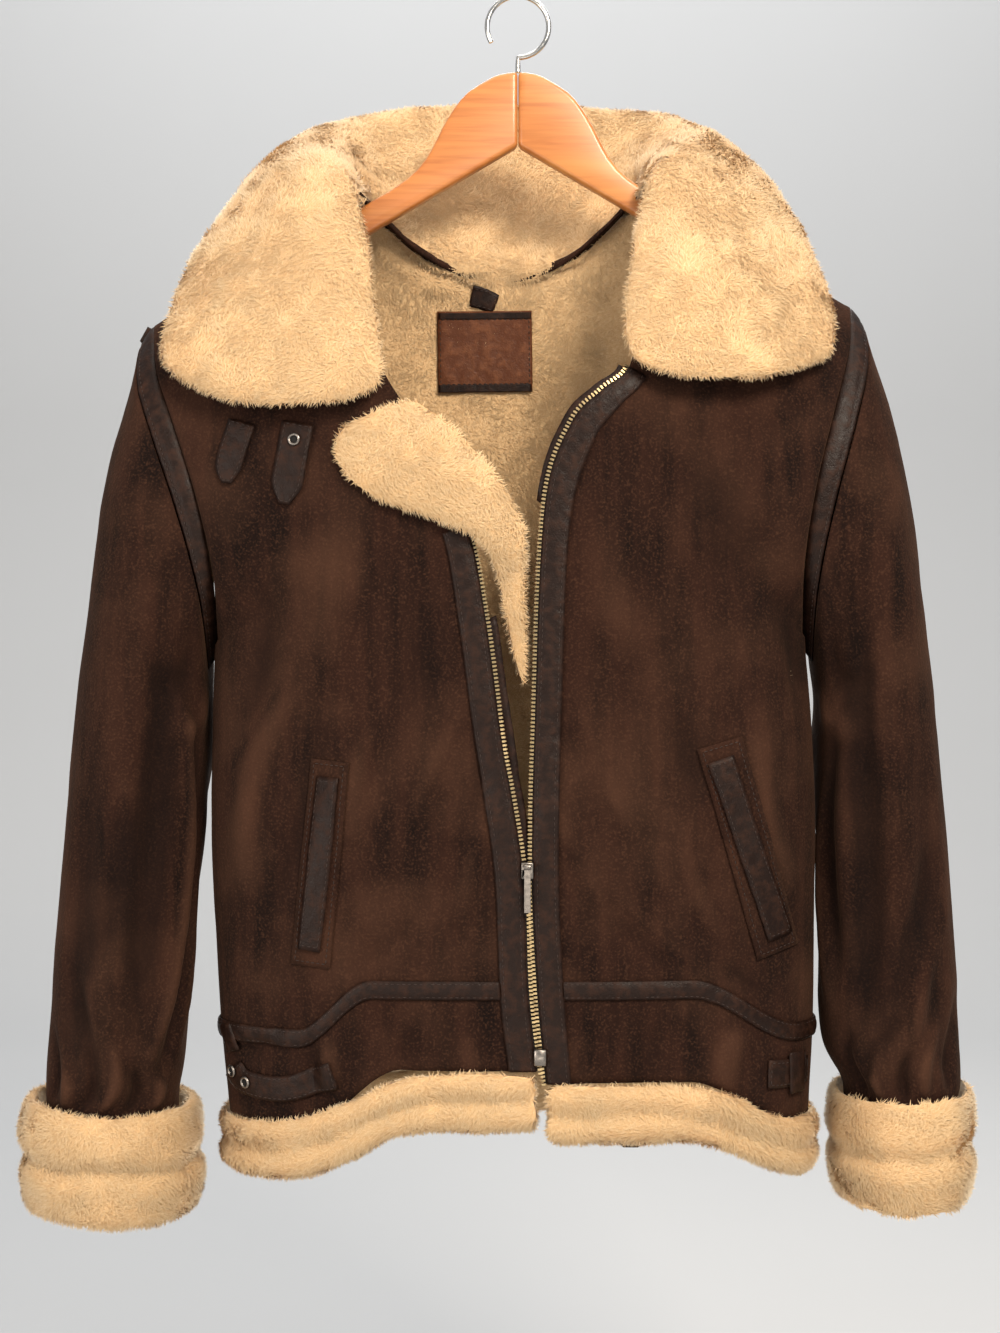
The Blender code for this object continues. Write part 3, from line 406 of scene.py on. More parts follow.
def front_grid(edge_table, side):
    """Outer face of a front from its centre edge to its side, shoulder seam to hem."""
    edges = filled(edge_table, SUBSTEPS)
    sides = filled_sides(FRONT_SIDE)
    share = COLUMNS
    grid = []
    for (x, y, z, roundness, start, stop), side_point in zip(edges, sides):
        end = hung(side_point, side)
        round_share = (1 - share**roundness) ** (1 / roundness)
        bent = min(start / 0.1, 1)  # 0 where the panel falls evenly to its side, 1 where it falls in a bend
        fall = share * (1 - bent) + smooth((share - start) / (stop - start)) * bent
        flat = FLAT_SIDE if len(grid) >= UNDERARM else 1.0
        across = np.minimum(share / flat, 1)
        grid.append(
            np.stack(
                [
                    x + (end[0] - x) * across,
                    end[1] + (y - end[1]) * round_share,
                    z + (end[2] - z) * fall,
                ],
                axis=-1,
            )
        )
    return np.array(grid)


def back_half(side):
    """Outer face of half the back, from its centre line to its side."""
    centres = filled(BACK_CENTRE, SUBSTEPS)
    sides = filled_sides(BACK_SIDE)
    share = COLUMNS
    tent = np.where(share < NECK_SHARE, (share / NECK_SHARE) ** 1.8, (1 - share) / (1 - NECK_SHARE))
    grid = []
    for (y, z, roundness, rise, draw), side_point in zip(centres, sides):
        centre = hung((0, y, z), side)
        end = hung(side_point, side)
        round_share = (1 - share**roundness) ** (1 / roundness)
        flat = FLAT_SIDE if len(grid) >= UNDERARM else 1.0
        across = np.minimum(share / flat, 1)
        grid.append(
            np.stack(
                [
                    centre[0] + (end[0] - centre[0]) * across,
                    end[1] + (y - end[1]) * round_share + draw * tent,
                    centre[2] + (end[2] - centre[2]) * share + rise * tent,
                ],
                axis=-1,
            )
        )
    return np.array(grid)


def back_grid():
    """Outer face of the back, from the left side seam to the right one."""
    return np.concatenate([back_half(1)[:, ::-1], back_half(-1)[:, 1:]], axis=1)


def normals(grid, outward, closed=False):
    """Unit normals of a grid; outward is 1 or -1, as its rows and columns turn."""
    down = np.gradient(grid, axis=0)
    if closed:
        across = np.roll(grid, -1, axis=1) - np.roll(grid, 1, axis=1)
    else:
        across = np.gradient(grid, axis=1)
    normal = np.cross(down, across) * outward
    return normal / np.linalg.norm(normal, axis=-1, keepdims=True)


def moved(grid, outward, distance, closed=False):
    """A grid moved out along its normals."""
    return grid + normals(grid, outward, closed) * distance


def trimmed(grid, top=0.0, bottom=0.0, first=0.0, last=0.0):
    """A grid whose border rows and columns are drawn in by these distances."""
    grid = grid.copy()
    for (axis, end), distance in zip(((0, 0), (0, -1), (1, 0), (1, -1)), (top, bottom, first, last)):
        if distance:
            lines = np.swapaxes(grid, 0, axis)
            step = lines[1 if end == 0 else -2] - lines[end]
            lines[end] += distance * step / np.linalg.norm(step, axis=-1, keepdims=True)
    return grid


def armhole(side):
    """Points round the armhole: from the shoulder down the front and up the back."""
    front = FLAT_LEFT if side > 0 else FLAT_RIGHT
    column = 0 if side > 0 else -1
    down = front[: UNDERARM + 1, -1]
    up = FLAT_BACK[: UNDERARM + 1, column][::-1]
    return np.concatenate([down, up[1:-1]])


def band_end(loop, side):
    """The armhole's points moved to the lower edge of its leather band."""
    count = len(loop)
    turn = 2 * np.pi * np.arange(count) / count
    sideways = BAND_OUT[0] + (BAND_OUT[1] - BAND_OUT[0]) * np.sin(turn) ** 2
    downwards = BAND_DOWN[0] + (BAND_DOWN[1] - BAND_DOWN[0]) * np.sin(turn) ** 2
    shift = np.stack([side * sideways, np.zeros(count), -downwards], axis=-1)
    return loop + shift


def ellipse_ring(row, count):
    """A ring of the sleeve, from its outer side round the front."""
    outer_x, outer_z, inner_x, inner_z, middle_y, half_depth = row
    turn = 2 * np.pi * np.arange(count) / count
    along = np.cos(turn)
    return np.stack(
        [
            (outer_x + inner_x) / 2 + (outer_x - inner_x) / 2 * along,
            middle_y - half_depth * np.sin(turn),
            (outer_z + inner_z) / 2 + (outer_z - inner_z) / 2 * along,
        ],
        axis=-1,
    )


# ---- materials ---------------------------------------------------------------------------------


def linear(hex_colour):
    """An sRGB hex colour as linear red, green, blue and alpha."""
    values = [int(hex_colour[i : i + 2], 16) / 255 for i in (1, 3, 5)]
    return (*[v / 12.92 if v <= 0.04045 else ((v + 0.055) / 1.055) ** 2.4 for v in values], 1.0)


def colour_setting(name, about, hex_colour):
    """A colour that a user may change."""
    return bpy.props.FloatVectorProperty(
        name=name, description=about, subtype="COLOR", size=3, min=0, max=1, default=linear(hex_colour)[:3]
    )


def length_setting(name, about, millimetres):
    """A length that a user may change."""
    size = millimetres * MM
    return bpy.props.FloatProperty(name=name, description=about, unit="LENGTH", min=0, default=size)


def share_setting(name, about, default):
    """A number from 0 to 1 that a user may change."""
    return bpy.props.FloatProperty(
        name=name, description=about, subtype="FACTOR", min=0, max=1, default=default
    )


class SuedeLook(bpy.types.PropertyGroup):
    ground: colour_setting("Ground", "The suede's own brown", "#28160f")
    # dark also serves as the painted shade in the fold troughs
    dark: colour_setting("Streaks", "Brown of the darker upright streaks and of the fold troughs", "#100705")
    # worn also serves as painted highlight on the fold ridges, besides rubbed nap
    worn: colour_setting("Worn", "Paler brown where the nap is rubbed", "#4d3325")
    thickness: length_setting("Thickness", "Thickness of the suede", 2.4)


class LeatherLook(bpy.types.PropertyGroup):
    ground: colour_setting("Ground", "Brown of the waxed leather", "#1a0e09")
    worn: colour_setting("Rubbed", "Brown of the leather's rubbed lumps", "#351f14")
    roughness: share_setting("Roughness", "Dullness of the waxed leather", 0.46)
    thread: colour_setting("Thread", "Colour of the sewing", "#2a1b14")
    pitch: length_setting("Stitch", "Length of one stitch with its gap", 4.2)


class PileLook(bpy.types.PropertyGroup):
    # root is painted shade: the wool deep in the pile, at the hairs' roots and in the ground's hollows
    root: colour_setting("Root", "Wool at its roots", "#cfaa7c")
    body: colour_setting("Body", "Wool halfway up", "#d8b98d")
    tip: colour_setting("Tip", "Wool at its tips", "#eed8b4")
    # Colour of the painted shade where the hairs part
    parting_shade: colour_setting("Parting", "Wool in the partings", "#c49a68")
    density: share_setting("Density", "Share of the hairs that are grown", 1.0)


class ZipLook(bpy.types.PropertyGroup):
    teeth: colour_setting("Teeth", "Antique brass of the teeth", "#b39f78")
    slider: colour_setting("Slider", "Dark nickel of the slider, pull and eyelets", "#8a847e")
    tape: colour_setting("Tape", "Woven tape", "#17100c")
    pitch: length_setting("Pitch", "From one tooth to the next", 2.9)


class PatchLook(bpy.types.PropertyGroup):
    ground: colour_setting("Ground", "Tan of the neck patch", "#56311e")
    worn: colour_setting("Rubbed", "Paler tan where the patch is rubbed", "#7a4c31")


class WoodLook(bpy.types.PropertyGroup):
    ground: colour_setting("Ground", "Maple between its rings", "#b87238")
    grain: colour_setting("Grain", "Darker rings", "#955222")
    pale: colour_setting("Pale", "Pale bands", "#c78848")
    edge: length_setting("Edge", "Radius of the arms' rounded edges", 3.4)


class StageLook(bpy.types.PropertyGroup):
    paper: colour_setting("Paper", "Colour of the paper sweep", "#b9bbbd")
    power: share_setting("Light", "Share of the lamps' full power", 1.0)


LOOKS = (SuedeLook, LeatherLook, PileLook, ZipLook, PatchLook, WoodLook, StageLook)


class JacketSettings(bpy.types.PropertyGroup):
    suede: bpy.props.PointerProperty(type=SuedeLook, name="Suede", description="Fronts, back and sleeves")
    leather: bpy.props.PointerProperty(type=LeatherLook, name="Leather", description="Strips and straps")
    pile: bpy.props.PointerProperty(type=PileLook, name="Pile", description="Collar, lining, cuffs and hem")
    zip: bpy.props.PointerProperty(type=ZipLook, name="Zip", description="Teeth, tape and slider")
    patch: bpy.props.PointerProperty(type=PatchLook, name="Neck patch", description="Bare tan patch")
    wood: bpy.props.PointerProperty(type=WoodLook, name="Hanger", description="Maple arms")
    stage: bpy.props.PointerProperty(type=StageLook, name="Stage", description="Paper and lamps")


def settings():
    """What the user has set in the sidebar."""
    return bpy.context.scene.jacket


def full(value):
    """A colour setting with its alpha."""
    return (*value, 1.0)


def lumps(size):
    """The noise scale, in metres, that gives lumps of this size in millimetres."""
    return 1000 / size


def add_node(tree, kind, inputs=(), **options):
    """A new shader node with its options, constants and links."""
    node = tree.nodes.new("ShaderNode" + kind)
    for name, value in options.items():
        setattr(node, name, value)
    for name, value in dict(inputs).items():
        if isinstance(value, bpy.types.NodeSocket):
            tree.links.new(value, node.inputs[name])
        else:
            node.inputs[name].default_value = value
    return node


FACTOR, FIRST, SECOND, MIXED = 0, 6, 7, 2  # sockets of a colour Mix node


def object_place(tree):
    """A piece's own coordinates, in metres."""
    return add_node(tree, "TexCoord").outputs["Object"]


def attribute(tree, name):
    return add_node(tree, "Attribute", attribute_name=name).outputs["Fac"]


def noise(tree, place, size, detail=2.0, **constants):
    """Soft random values from 0 to 1, in lumps of this size in millimetres."""
    inputs = {"Vector": place, "Scale": lumps(size), "Detail": detail, **constants}
    return add_node(tree, "TexNoise", inputs).outputs["Fac"]


def cells(tree, place, size, feature):
    """Distances in cells of this size in millimetres: to their middles, or to their edges."""
    inputs = {"Vector": place, "Scale": lumps(size)}
    return add_node(tree, "TexVoronoi", inputs, feature=feature).outputs["Distance"]


def ranged(tree, value, start, stop, low=0.0, high=1.0):
    """A value's stretch from start to stop, brought to low to high."""
    inputs = {"Value": value, "From Min": start, "From Max": stop, "To Min": low, "To Max": high}
    return add_node(tree, "MapRange", inputs).outputs["Result"]


def mixed(tree, much, first, second):
    """Two colours, with this much of the second."""
    inputs = {FACTOR: much, FIRST: first, SECOND: second}
    return add_node(tree, "Mix", inputs, data_type="RGBA").outputs[MIXED]


def relief(tree, height, strength, depth, **before):
    """Normals of a relief of this depth, in metres."""
    inputs = {"Height": height, "Strength": strength, "Distance": depth, **before}
    return add_node(tree, "Bump", inputs).outputs["Normal"]


def new_material(name, **constants):
    """A node material, its tree and its shader; no tree where the material is there already."""
    material = bpy.data.materials.get(name)
    if material:
        return material, None, None
    material = bpy.data.materials.new(name)
    material.use_nodes = True
    tree = material.node_tree
    shader = tree.nodes["Principled BSDF"]
    for socket, value in constants.items():
        shader.inputs[socket.replace("_", " ")].default_value = value
    return material, tree, shader


def wire(tree, shader, **sources):
    """Links what was worked out to the shader's sockets."""
    for socket, source in sources.items():
        tree.links.new(source, shader.inputs[socket.replace("_", " ")])


def suede():
    """Napped cowhide suede: dull, mottled in soft upright streaks, with a fine pebble and pale nap; painted
    shade darkens its fold troughs, and its fold ridges are painted paler as rubbed nap and painted highlight.
    """
    material, tree, shader = new_material(
        "napped_suede", Roughness=0.95, Sheen_Weight=0.1, Sheen_Roughness=0.5, Sheen_Tint=linear("#a07556"),
        Specular_IOR_Level=0.12,
    )
    if not tree:
        return material
    look = settings().suede
    place = object_place(tree)
    upright = add_node(tree, "Mapping", {"Vector": place, "Scale": (1.0, 1.0, 0.16)}).outputs["Vector"]
    streaks = noise(tree, upright, 19, 5.0, Roughness=0.6)
    broad = noise(tree, place, 70, 4.0)
    grain = noise(tree, place, 1.7, 3.0)
    pebble = cells(tree, place, 2.4, "SMOOTH_F1")
    fold = attribute(tree, "fold")
    tone = full(look.dark)
    for source, start, stop, most, paint in (
        (streaks, 0.36, 0.62, 1.0, look.ground),
        (broad, 0.46, 0.72, 0.34, look.worn),
        (grain, 0.5, 0.72, 0.42, look.worn),
        # fold ridges painted paler, as rubbed nap and painted highlight; fold troughs painted darker, as
        # painted shade
        (fold, 1.0, 5.0, 0.4, look.worn),
        (fold, -1.0, -5.5, 0.65, look.dark),
    ):
        tone = mixed(tree, ranged(tree, source, start, stop, high=most), tone, full(paint))
    height = add_node(tree, "Math", {0: grain, 1: pebble}, operation="SUBTRACT").outputs["Value"]
    wire(tree, shader, Base_Color=tone, Normal=relief(tree, height, 0.6, 0.0006))
    return material


def grain_leather(name, look, roughness):
    """Waxed grain leather: half glossy, with fine creases, and rubbed paler on its lumps."""
    material, tree, shader = new_material(name, Roughness=roughness, Specular_IOR_Level=0.16)
    if not tree:
        return material
    place = object_place(tree)
    creases = cells(tree, place, 2.2, "DISTANCE_TO_EDGE")
    waves = noise(tree, place, 7, 5.0, Roughness=0.6)
    tone = mixed(tree, ranged(tree, waves, 0.45, 0.72, high=0.7), full(look.ground), full(look.worn))
    dull = ranged(tree, waves, 0.3, 0.7, roughness - 0.1, roughness + 0.14)
    fine = relief(tree, creases, 0.5, 0.0004)
    wire(tree, shader, Base_Color=tone, Roughness=dull, Normal=relief(tree, waves, 0.6, 0.0012, Normal=fine))
    return material


def leather():
    look = settings().leather
    return grain_leather("waxed_cowhide", look, look.roughness)


def tan_leather():
    return grain_leather("polished_tan_leather", settings().patch, 0.4)


def thread():
    return plain("waxed_thread", settings().leather.thread, 0.6)


def pile_ground():
    """The backing and packed roots of a wool pile: dull, with painted shade in the hollows of its lumps."""
    material, tree, shader = new_material(
        "wool_pile_ground", Roughness=1.0, Sheen_Weight=0.4, Specular_IOR_Level=0.1
    )
    if not tree:
        return material
    look = settings().pile
    clumps = noise(tree, object_place(tree), 5, 6.0, Roughness=0.7)
    # the root colour in the lumps' hollows is painted shade
    tone = mixed(tree, ranged(tree, clumps, 0.35, 0.65, 0.45), full(look.root), full(look.body))
    wire(tree, shader, Base_Color=tone, Normal=relief(tree, clumps, 0.8, 0.002))
    return material


def pile_hairs():
    """Sheared wool hairs: dull and soft, cream with pale tips, with painted shade at the roots and in the
    partings.
    """
    material, tree, shader = new_material(
        "wool_pile_hairs", Roughness=0.85, Sheen_Weight=0.5, Sheen_Roughness=0.4,
        Sheen_Tint=linear("#fff1d8"), Specular_IOR_Level=0.2,
    )
    if not tree:
        return material
    look = settings().pile
    along = attribute(tree, "along")
    # the root end of each hair is painted shade
    lower = mixed(tree, ranged(tree, along, 0.0, 0.6), full(look.root), full(look.body))
    whole = mixed(tree, ranged(tree, along, 0.6, 1.0, high=0.8), lower, full(look.tip))
    # the tone attribute mixes in the painted shade of the partings
    wire(tree, shader, Base_Color=mixed(tree, attribute(tree, "tone"), whole, full(look.parting_shade)))
    return material


def metal(name, colour, roughness, tarnish="#2b2622"):
    """Plated zip or hook metal: bright on its faces, tarnished in patches."""
    material, tree, shader = new_material(name, Metallic=1.0, Roughness=roughness)
    if not tree:
        return material
    spots = noise(tree, object_place(tree), 3, 4.0)
    tone = mixed(tree, ranged(tree, spots, 0.5, 0.8, high=0.5), full(colour), linear(tarnish))
    dull = ranged(tree, spots, 0.3, 0.7, roughness - 0.08, roughness + 0.12)
    wire(tree, shader, Base_Color=tone, Roughness=dull)
    return material


def dark_nickel():
    return metal("dark_nickel", settings().zip.slider, 0.3)


ARM_SLOPE = 38  # degrees by which a hanger arm and its grain slope down


def maple(side):
    """Varnished maple: warm and half glossy, its grain running down along the arm."""
    material, tree, shader = new_material(
        f"varnished_maple_{side}", Roughness=0.38, Coat_Weight=0.35, Coat_Roughness=0.15
    )
    if not tree:
        return material
    look = settings().wood
    turn = math.radians(ARM_SLOPE if side == "left" else -ARM_SLOPE)
    turned = {"Vector": object_place(tree), "Rotation": (0.0, -turn, 0.0), "Scale": (0.06, 1.0, 1.0)}
    along = add_node(tree, "Mapping", turned).outputs["Vector"]
    rings = noise(tree, along, 3.2, 3.0, Distortion=0.4)
    broad = noise(tree, along, 14)
    tone = mixed(tree, ranged(tree, rings, 0.42, 0.68, high=0.5), full(look.ground), full(look.grain))
    tone = mixed(tree, ranged(tree, broad, 0.45, 0.7, high=0.7), tone, full(look.pale))
    wire(tree, shader, Base_Color=tone, Normal=relief(tree, rings, 0.15, 0.0004))
    return material


def plain(name, paint, roughness, mottle=3.0, depth=0.2):
    """Thread, tape or paper: one dull colour with a faint mottle."""
    material, tree, shader = new_material(name, Roughness=roughness)
    if not tree:
        return material
    darker, paler = [full(tuple(value * (1 + change) for value in paint)) for change in (-depth, depth)]
    wire(tree, shader, Base_Color=mixed(tree, noise(tree, object_place(tree), mottle), darker, paler))
    return material


# ---- meshes ------------------------------------------------------------------------------------


def soft_noise(points, size, seed):
    """Smooth random values from -1 to 1 at points in millimetres, with lumps about size across."""
    cells = points / size
    corner = np.floor(cells).astype(np.int64)
    share = cells - corner
    share = share * share * (3 - 2 * share)
    total = np.zeros(points.shape[:-1])
    for offset in np.ndindex(2, 2, 2):
        weight = np.prod(np.where(offset, share, 1 - share), axis=-1)
        key = ((corner + offset) * np.array((73856093, 19349663, 83492791))).sum(axis=-1) + seed * 7919
        key = ((key ^ (key >> 13)) * 1274126177) & 0xFFFFFFFF
        key = ((key ^ (key >> 15)) * 2246822519) & 0xFFFFFFFF
        total += weight * (key / 0x7FFFFFFF - 1)
    return total


def put_float(mesh, name, values):
    """A number for each vertex, which a material reads."""
    mesh.attributes.new(name, "FLOAT", "POINT").data.foreach_set("value", np.ravel(values).astype(np.float32))


def new_object(name, mesh, material):
    """A mesh as a piece of the scene, with one material."""
    mesh.materials.append(material)
    piece = bpy.data.objects.new(name, mesh)
    bpy.context.scene.collection.objects.link(piece)
    return piece


def pick(piece):
    """Makes a piece the selected and active one."""
    bpy.ops.object.select_all(action="DESELECT")
    piece.select_set(True)
    bpy.context.view_layer.objects.active = piece


def apply_all(piece):
    """Applies a piece's modifiers, first to last."""
    pick(piece)
    for modifier in list(piece.modifiers):
        bpy.ops.object.modifier_apply(modifier=modifier.name)
    piece.select_set(False)


def wall(piece, thickness, inwards=True):
    """Gives a sheet its thickness in millimetres."""
    solid = piece.modifiers.new("wall", "SOLIDIFY")
    solid.thickness = thickness * MM
    solid.offset = -1 if inwards else 1
    solid.use_even_offset = False
    apply_all(piece)


def grid_faces(grid, closed=False):
    """The corners of each face between a grid's points."""
    rows, columns = grid.shape[:2]
    index = np.arange(rows * columns).reshape(rows, columns)
    if closed:
        index = np.concatenate([index, index[:, :1]], axis=1)
    return np.stack([index[:-1, :-1], index[1:, :-1], index[1:, 1:], index[:-1, 1:]], axis=-1)


def grid_piece(name, grid, outward, material, closed=False, fold=None):
    """A sheet through a grid of points in millimetres, with its lengths as UVs in metres."""
    quads = grid_faces(grid, closed)
    if outward < 0:
        quads = quads[..., ::-1]
    mesh = bpy.data.meshes.new(name)
    mesh.from_pydata((grid.reshape(-1, 3) * MM).tolist(), [], quads.reshape(-1, 4).tolist())
    around = np.concatenate([grid, grid[:, :1]], axis=1) if closed else grid
    wide = np.linalg.norm(np.diff(around, axis=1), axis=-1).cumsum(axis=1)
    u = np.concatenate([np.zeros((len(grid), 1)), wide], axis=1) * MM
    down = np.linalg.norm(np.diff(around, axis=0), axis=-1).cumsum(axis=0)
    v = np.concatenate([np.zeros((1, around.shape[1])), down], axis=0) * MM
    both = np.stack([u, v], axis=-1)
    corners = np.stack([both[:-1, :-1], both[1:, :-1], both[1:, 1:], both[:-1, 1:]], axis=2)
    if outward < 0:
        corners = corners[:, :, ::-1]
    mesh.uv_layers.new(name="lengths").data.foreach_set("uv", corners.reshape(-1).astype(np.float32))
    mesh.shade_smooth()
    # the fold height, from which the suede paints shade in its troughs and highlight on its ridges
    if fold is not None:
        put_float(mesh, "fold", fold)
    return new_object(name, mesh, material)


def settle(piece, slot, *nodes, body=BODY):
    """Lets a piece move with its body and stand for its nodes, which are hidden; its slot is not used."""
    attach(piece, body)
    if nodes:
        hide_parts(*nodes)


def corner_copy(node, name, material, rounds=2, crease=True):
    """A finer copy of a node: merged, made quads, and rounded by subdivision between its sharp edges."""
    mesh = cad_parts[node].data.copy()
    mesh.materials.clear()
    piece = new_object(name, mesh, material)
    pick(piece)
    bpy.ops.object.mode_set(mode="EDIT")
    bpy.ops.mesh.select_all(action="SELECT")
    bpy.ops.mesh.remove_doubles(threshold=0.00001)
    bpy.ops.mesh.tris_convert_to_quads(face_threshold=math.radians(60), shape_threshold=math.radians(60))
    if crease:
        bpy.ops.mesh.select_all(action="DESELECT")
        bpy.ops.mesh.edges_select_sharp(sharpness=math.radians(50))
        bpy.ops.transform.edge_crease(value=1.0)
    bpy.ops.object.mode_set(mode="OBJECT")
    if piece.data.has_custom_normals:
        bpy.ops.mesh.customdata_custom_splitnormals_clear()
    if rounds:
        rounding = piece.modifiers.new("rounding", "SUBSURF")
        rounding.levels = rounds
        rounding.render_levels = rounds
        apply_all(piece)
    piece.data.shade_smooth()
    return piece


def bevelled_copy(node, name, material, width, segments=3):
    """A copy of a hard node whose edges are rounded by this width in millimetres."""
    piece = corner_copy(node, name, material, rounds=0, crease=False)
    pick(piece)
    bpy.ops.object.mode_set(mode="EDIT")
    bpy.ops.mesh.select_all(action="SELECT")
    bpy.ops.mesh.dissolve_limited(angle_limit=math.radians(1))
    bpy.ops.object.mode_set(mode="OBJECT")
    edges = piece.modifiers.new("rounded edges", "BEVEL")
    edges.width = width * MM
    edges.segments = segments
    edges.angle_limit = math.radians(50)
    apply_all(piece)
    piece.data.set_sharp_from_angle(angle=math.radians(50))
    return piece


# ---- cloth grids -------------------------------------------------------------------------------


def fold_heights(grid, folds):
    """How far the folds of a panel stand out at each of its points, seen from the front."""
    height = np.zeros(grid.shape[:2])
    x, z = grid[..., 0], grid[..., 2]
    for start_x, start_z, end_x, end_z, width, stand in folds:
        along_x, along_z = end_x - start_x, end_z - start_z
        length = math.hypot(along_x, along_z)
        share = ((x - start_x) * along_x + (z - start_z) * along_z) / length**2
        bow = 0.08 * length * np.sin(math.pi * np.clip(share, 0, 1)) * (1 if stand > 0 else -1)
        aside = ((x - start_x) * along_z - (z - start_z) * along_x) / length - bow
        taper = np.sin(math.pi * np.clip((share + 0.12) / 1.24, 0, 1)) ** 0.8
        height += stand * taper * np.exp(-((aside / width) ** 2))
    return height


def folded_panel(grid, outward, folds, seed):
    """A panel with its folds and its slight unevenness; also how far each point stands out."""
    folded = FOLD_DEPTH * fold_heights(grid, folds)
    uneven = 1.6 * soft_noise(grid, 70, seed) + 0.6 * soft_noise(grid, 22, seed + 1)
    share = np.linspace(0, 1, grid.shape[1])[None, :]
    edge = np.minimum(np.minimum(share, 1 - share) * 14, 1)  # a panel lies flat at its side seams
    height = (folded + uneven) * edge
    return moved(grid, outward, height[..., None]), height


def crease_heights(rows, count, creases, folds):
    """How far a sleeve's creases and folds stand out; turns in degrees from its outer side."""
    turn = 360 * np.arange(count)[None, :] / count
    ring = (np.arange(rows) / SLEEVE_SUBSTEPS)[:, None]
    height = np.zeros((rows, count))
    for middle, width, first, last, press in creases:
        away = np.abs((turn - middle + 180) % 360 - 180)
        across = 0.5 + 0.5 * np.cos(np.pi * np.clip(away / width, 0, 1))
        swell = np.sin(np.pi * np.clip((ring - first) / (last - first), 0, 1)) ** 0.7
        height -= press * swell * across
    for turn_a, ring_a, turn_b, ring_b, width, stand in folds:
        along_x, along_z = (turn_b - turn_a) * DEGREE, (ring_b - ring_a) * RING
        length = math.hypot(along_x, along_z)
        x, z = ((turn - turn_a + 180) % 360 - 180) * DEGREE, (ring - ring_a) * RING
        share = (x * along_x + z * along_z) / length**2
        bow = 0.06 * length * np.sin(math.pi * np.clip(share, 0, 1))
        aside = (x * along_z - z * along_x) / length - bow
        taper = np.sin(math.pi * np.clip((share + 0.1) / 1.2, 0, 1)) ** 0.8
        height += FOLD_DEPTH * stand * taper * np.exp(-((aside / width) ** 2))
    return height


def finished_sleeve(table, side):
    """A sleeve's outer skin as a closed grid, and how far its points stand out."""
    start = band_end(armhole(side), side)
    rings = [start] + [ellipse_ring(row, len(start)) for row in table]
    flat = np.array(rings).reshape(len(rings), -1)
    grid = filled(flat, SLEEVE_SUBSTEPS).reshape(-1, len(start), 3)
    grid = trimmed(grid, top=SEAM + 0.3)
    name = "left" if side > 0 else "right"
    height = crease_heights(*grid.shape[:2], SLEEVE_CREASES, SLEEVE_FOLDS[name])
    height += 2.0 * soft_noise(grid, 60, 11 + side) + 0.4 * soft_noise(grid, 20, 21 + side)
    rows = np.arange(len(grid))[:, None]
    height *= np.clip(rows / 6, 0, 1) * np.clip((len(grid) - rows) / 10, 0.35, 1)
    return moved(grid, -side, height[..., None], closed=True), height


FLAT_LEFT = front_grid(LEFT_EDGE, 1)
FLAT_RIGHT = front_grid(RIGHT_EDGE, -1)
FLAT_BACK = back_grid()
LEFT_FRONT, LEFT_HEIGHT = folded_panel(FLAT_LEFT, 1, PANEL_FOLDS["left"], 1)
RIGHT_FRONT, RIGHT_HEIGHT = folded_panel(FLAT_RIGHT, -1, PANEL_FOLDS["right"], 3)
BACK, BACK_HEIGHT = folded_panel(FLAT_BACK, 1, PANEL_FOLDS["back"], 5)


# ---- strips and stitches -----------------------------------------------------------------------


def evenly(line, pitch, *others):
    """A polyline and arrays that go with it, read at equal steps along it."""
    steps = np.linalg.norm(np.diff(line, axis=0), axis=-1)
    reach = np.concatenate([[0], steps.cumsum()])
    count = max(2, int(round(reach[-1] / pitch)) + 1)
    at = np.linspace(0, reach[-1], count)
    result = []
    for values in (line, *others):
        result.append(np.stack([np.interp(at, reach, values[:, k]) for k in range(values.shape[1])], axis=-1))
    return result


def row_offset(grid, row, distance):
    """A grid's points at a distance from one of its rows, down its columns."""
    steps = np.linalg.norm(np.diff(grid, axis=0), axis=-1)
    reach = np.concatenate([np.zeros((1, grid.shape[1])), steps.cumsum(axis=0)])
    line = []
    for column in range(grid.shape[1]):
        at = reach[row, column] + distance
        line.append([np.interp(at, reach[:, column], grid[:, column, k]) for k in range(3)])
    return np.array(line)


ACROSS = np.linspace(0, 1, 11)


def strip_grid(first, last, normal, rise=0.7, pucker=0.28, seed=0):
    """A strip between two lines: pillowed, with puckers across its stitched edges."""
    first, last, normal = evenly(first, 1.8, last, normal)
    normal = normal / np.linalg.norm(normal, axis=-1, keepdims=True)
    grid = first[:, None] * (1 - ACROSS[None, :, None]) + last[:, None] * ACROSS[None, :, None]
    pillow = rise * np.clip(np.sin(np.pi * ACROSS), 0, 1) ** 0.5
    sewn = np.exp(-(((ACROSS - 0.16) / 0.07) ** 2)) + np.exp(-(((ACROSS - 0.84) / 0.07) ** 2))
    ripple = soft_noise(grid, 3.2, seed)
    height = pillow[None] - 0.35 * sewn[None] + pucker * ripple * (0.4 + sewn[None])
    return grid + normal[:, None] * height[..., None]


STITCH = (3.2, 0.75, 0.5)  # length, width and height of one stitch


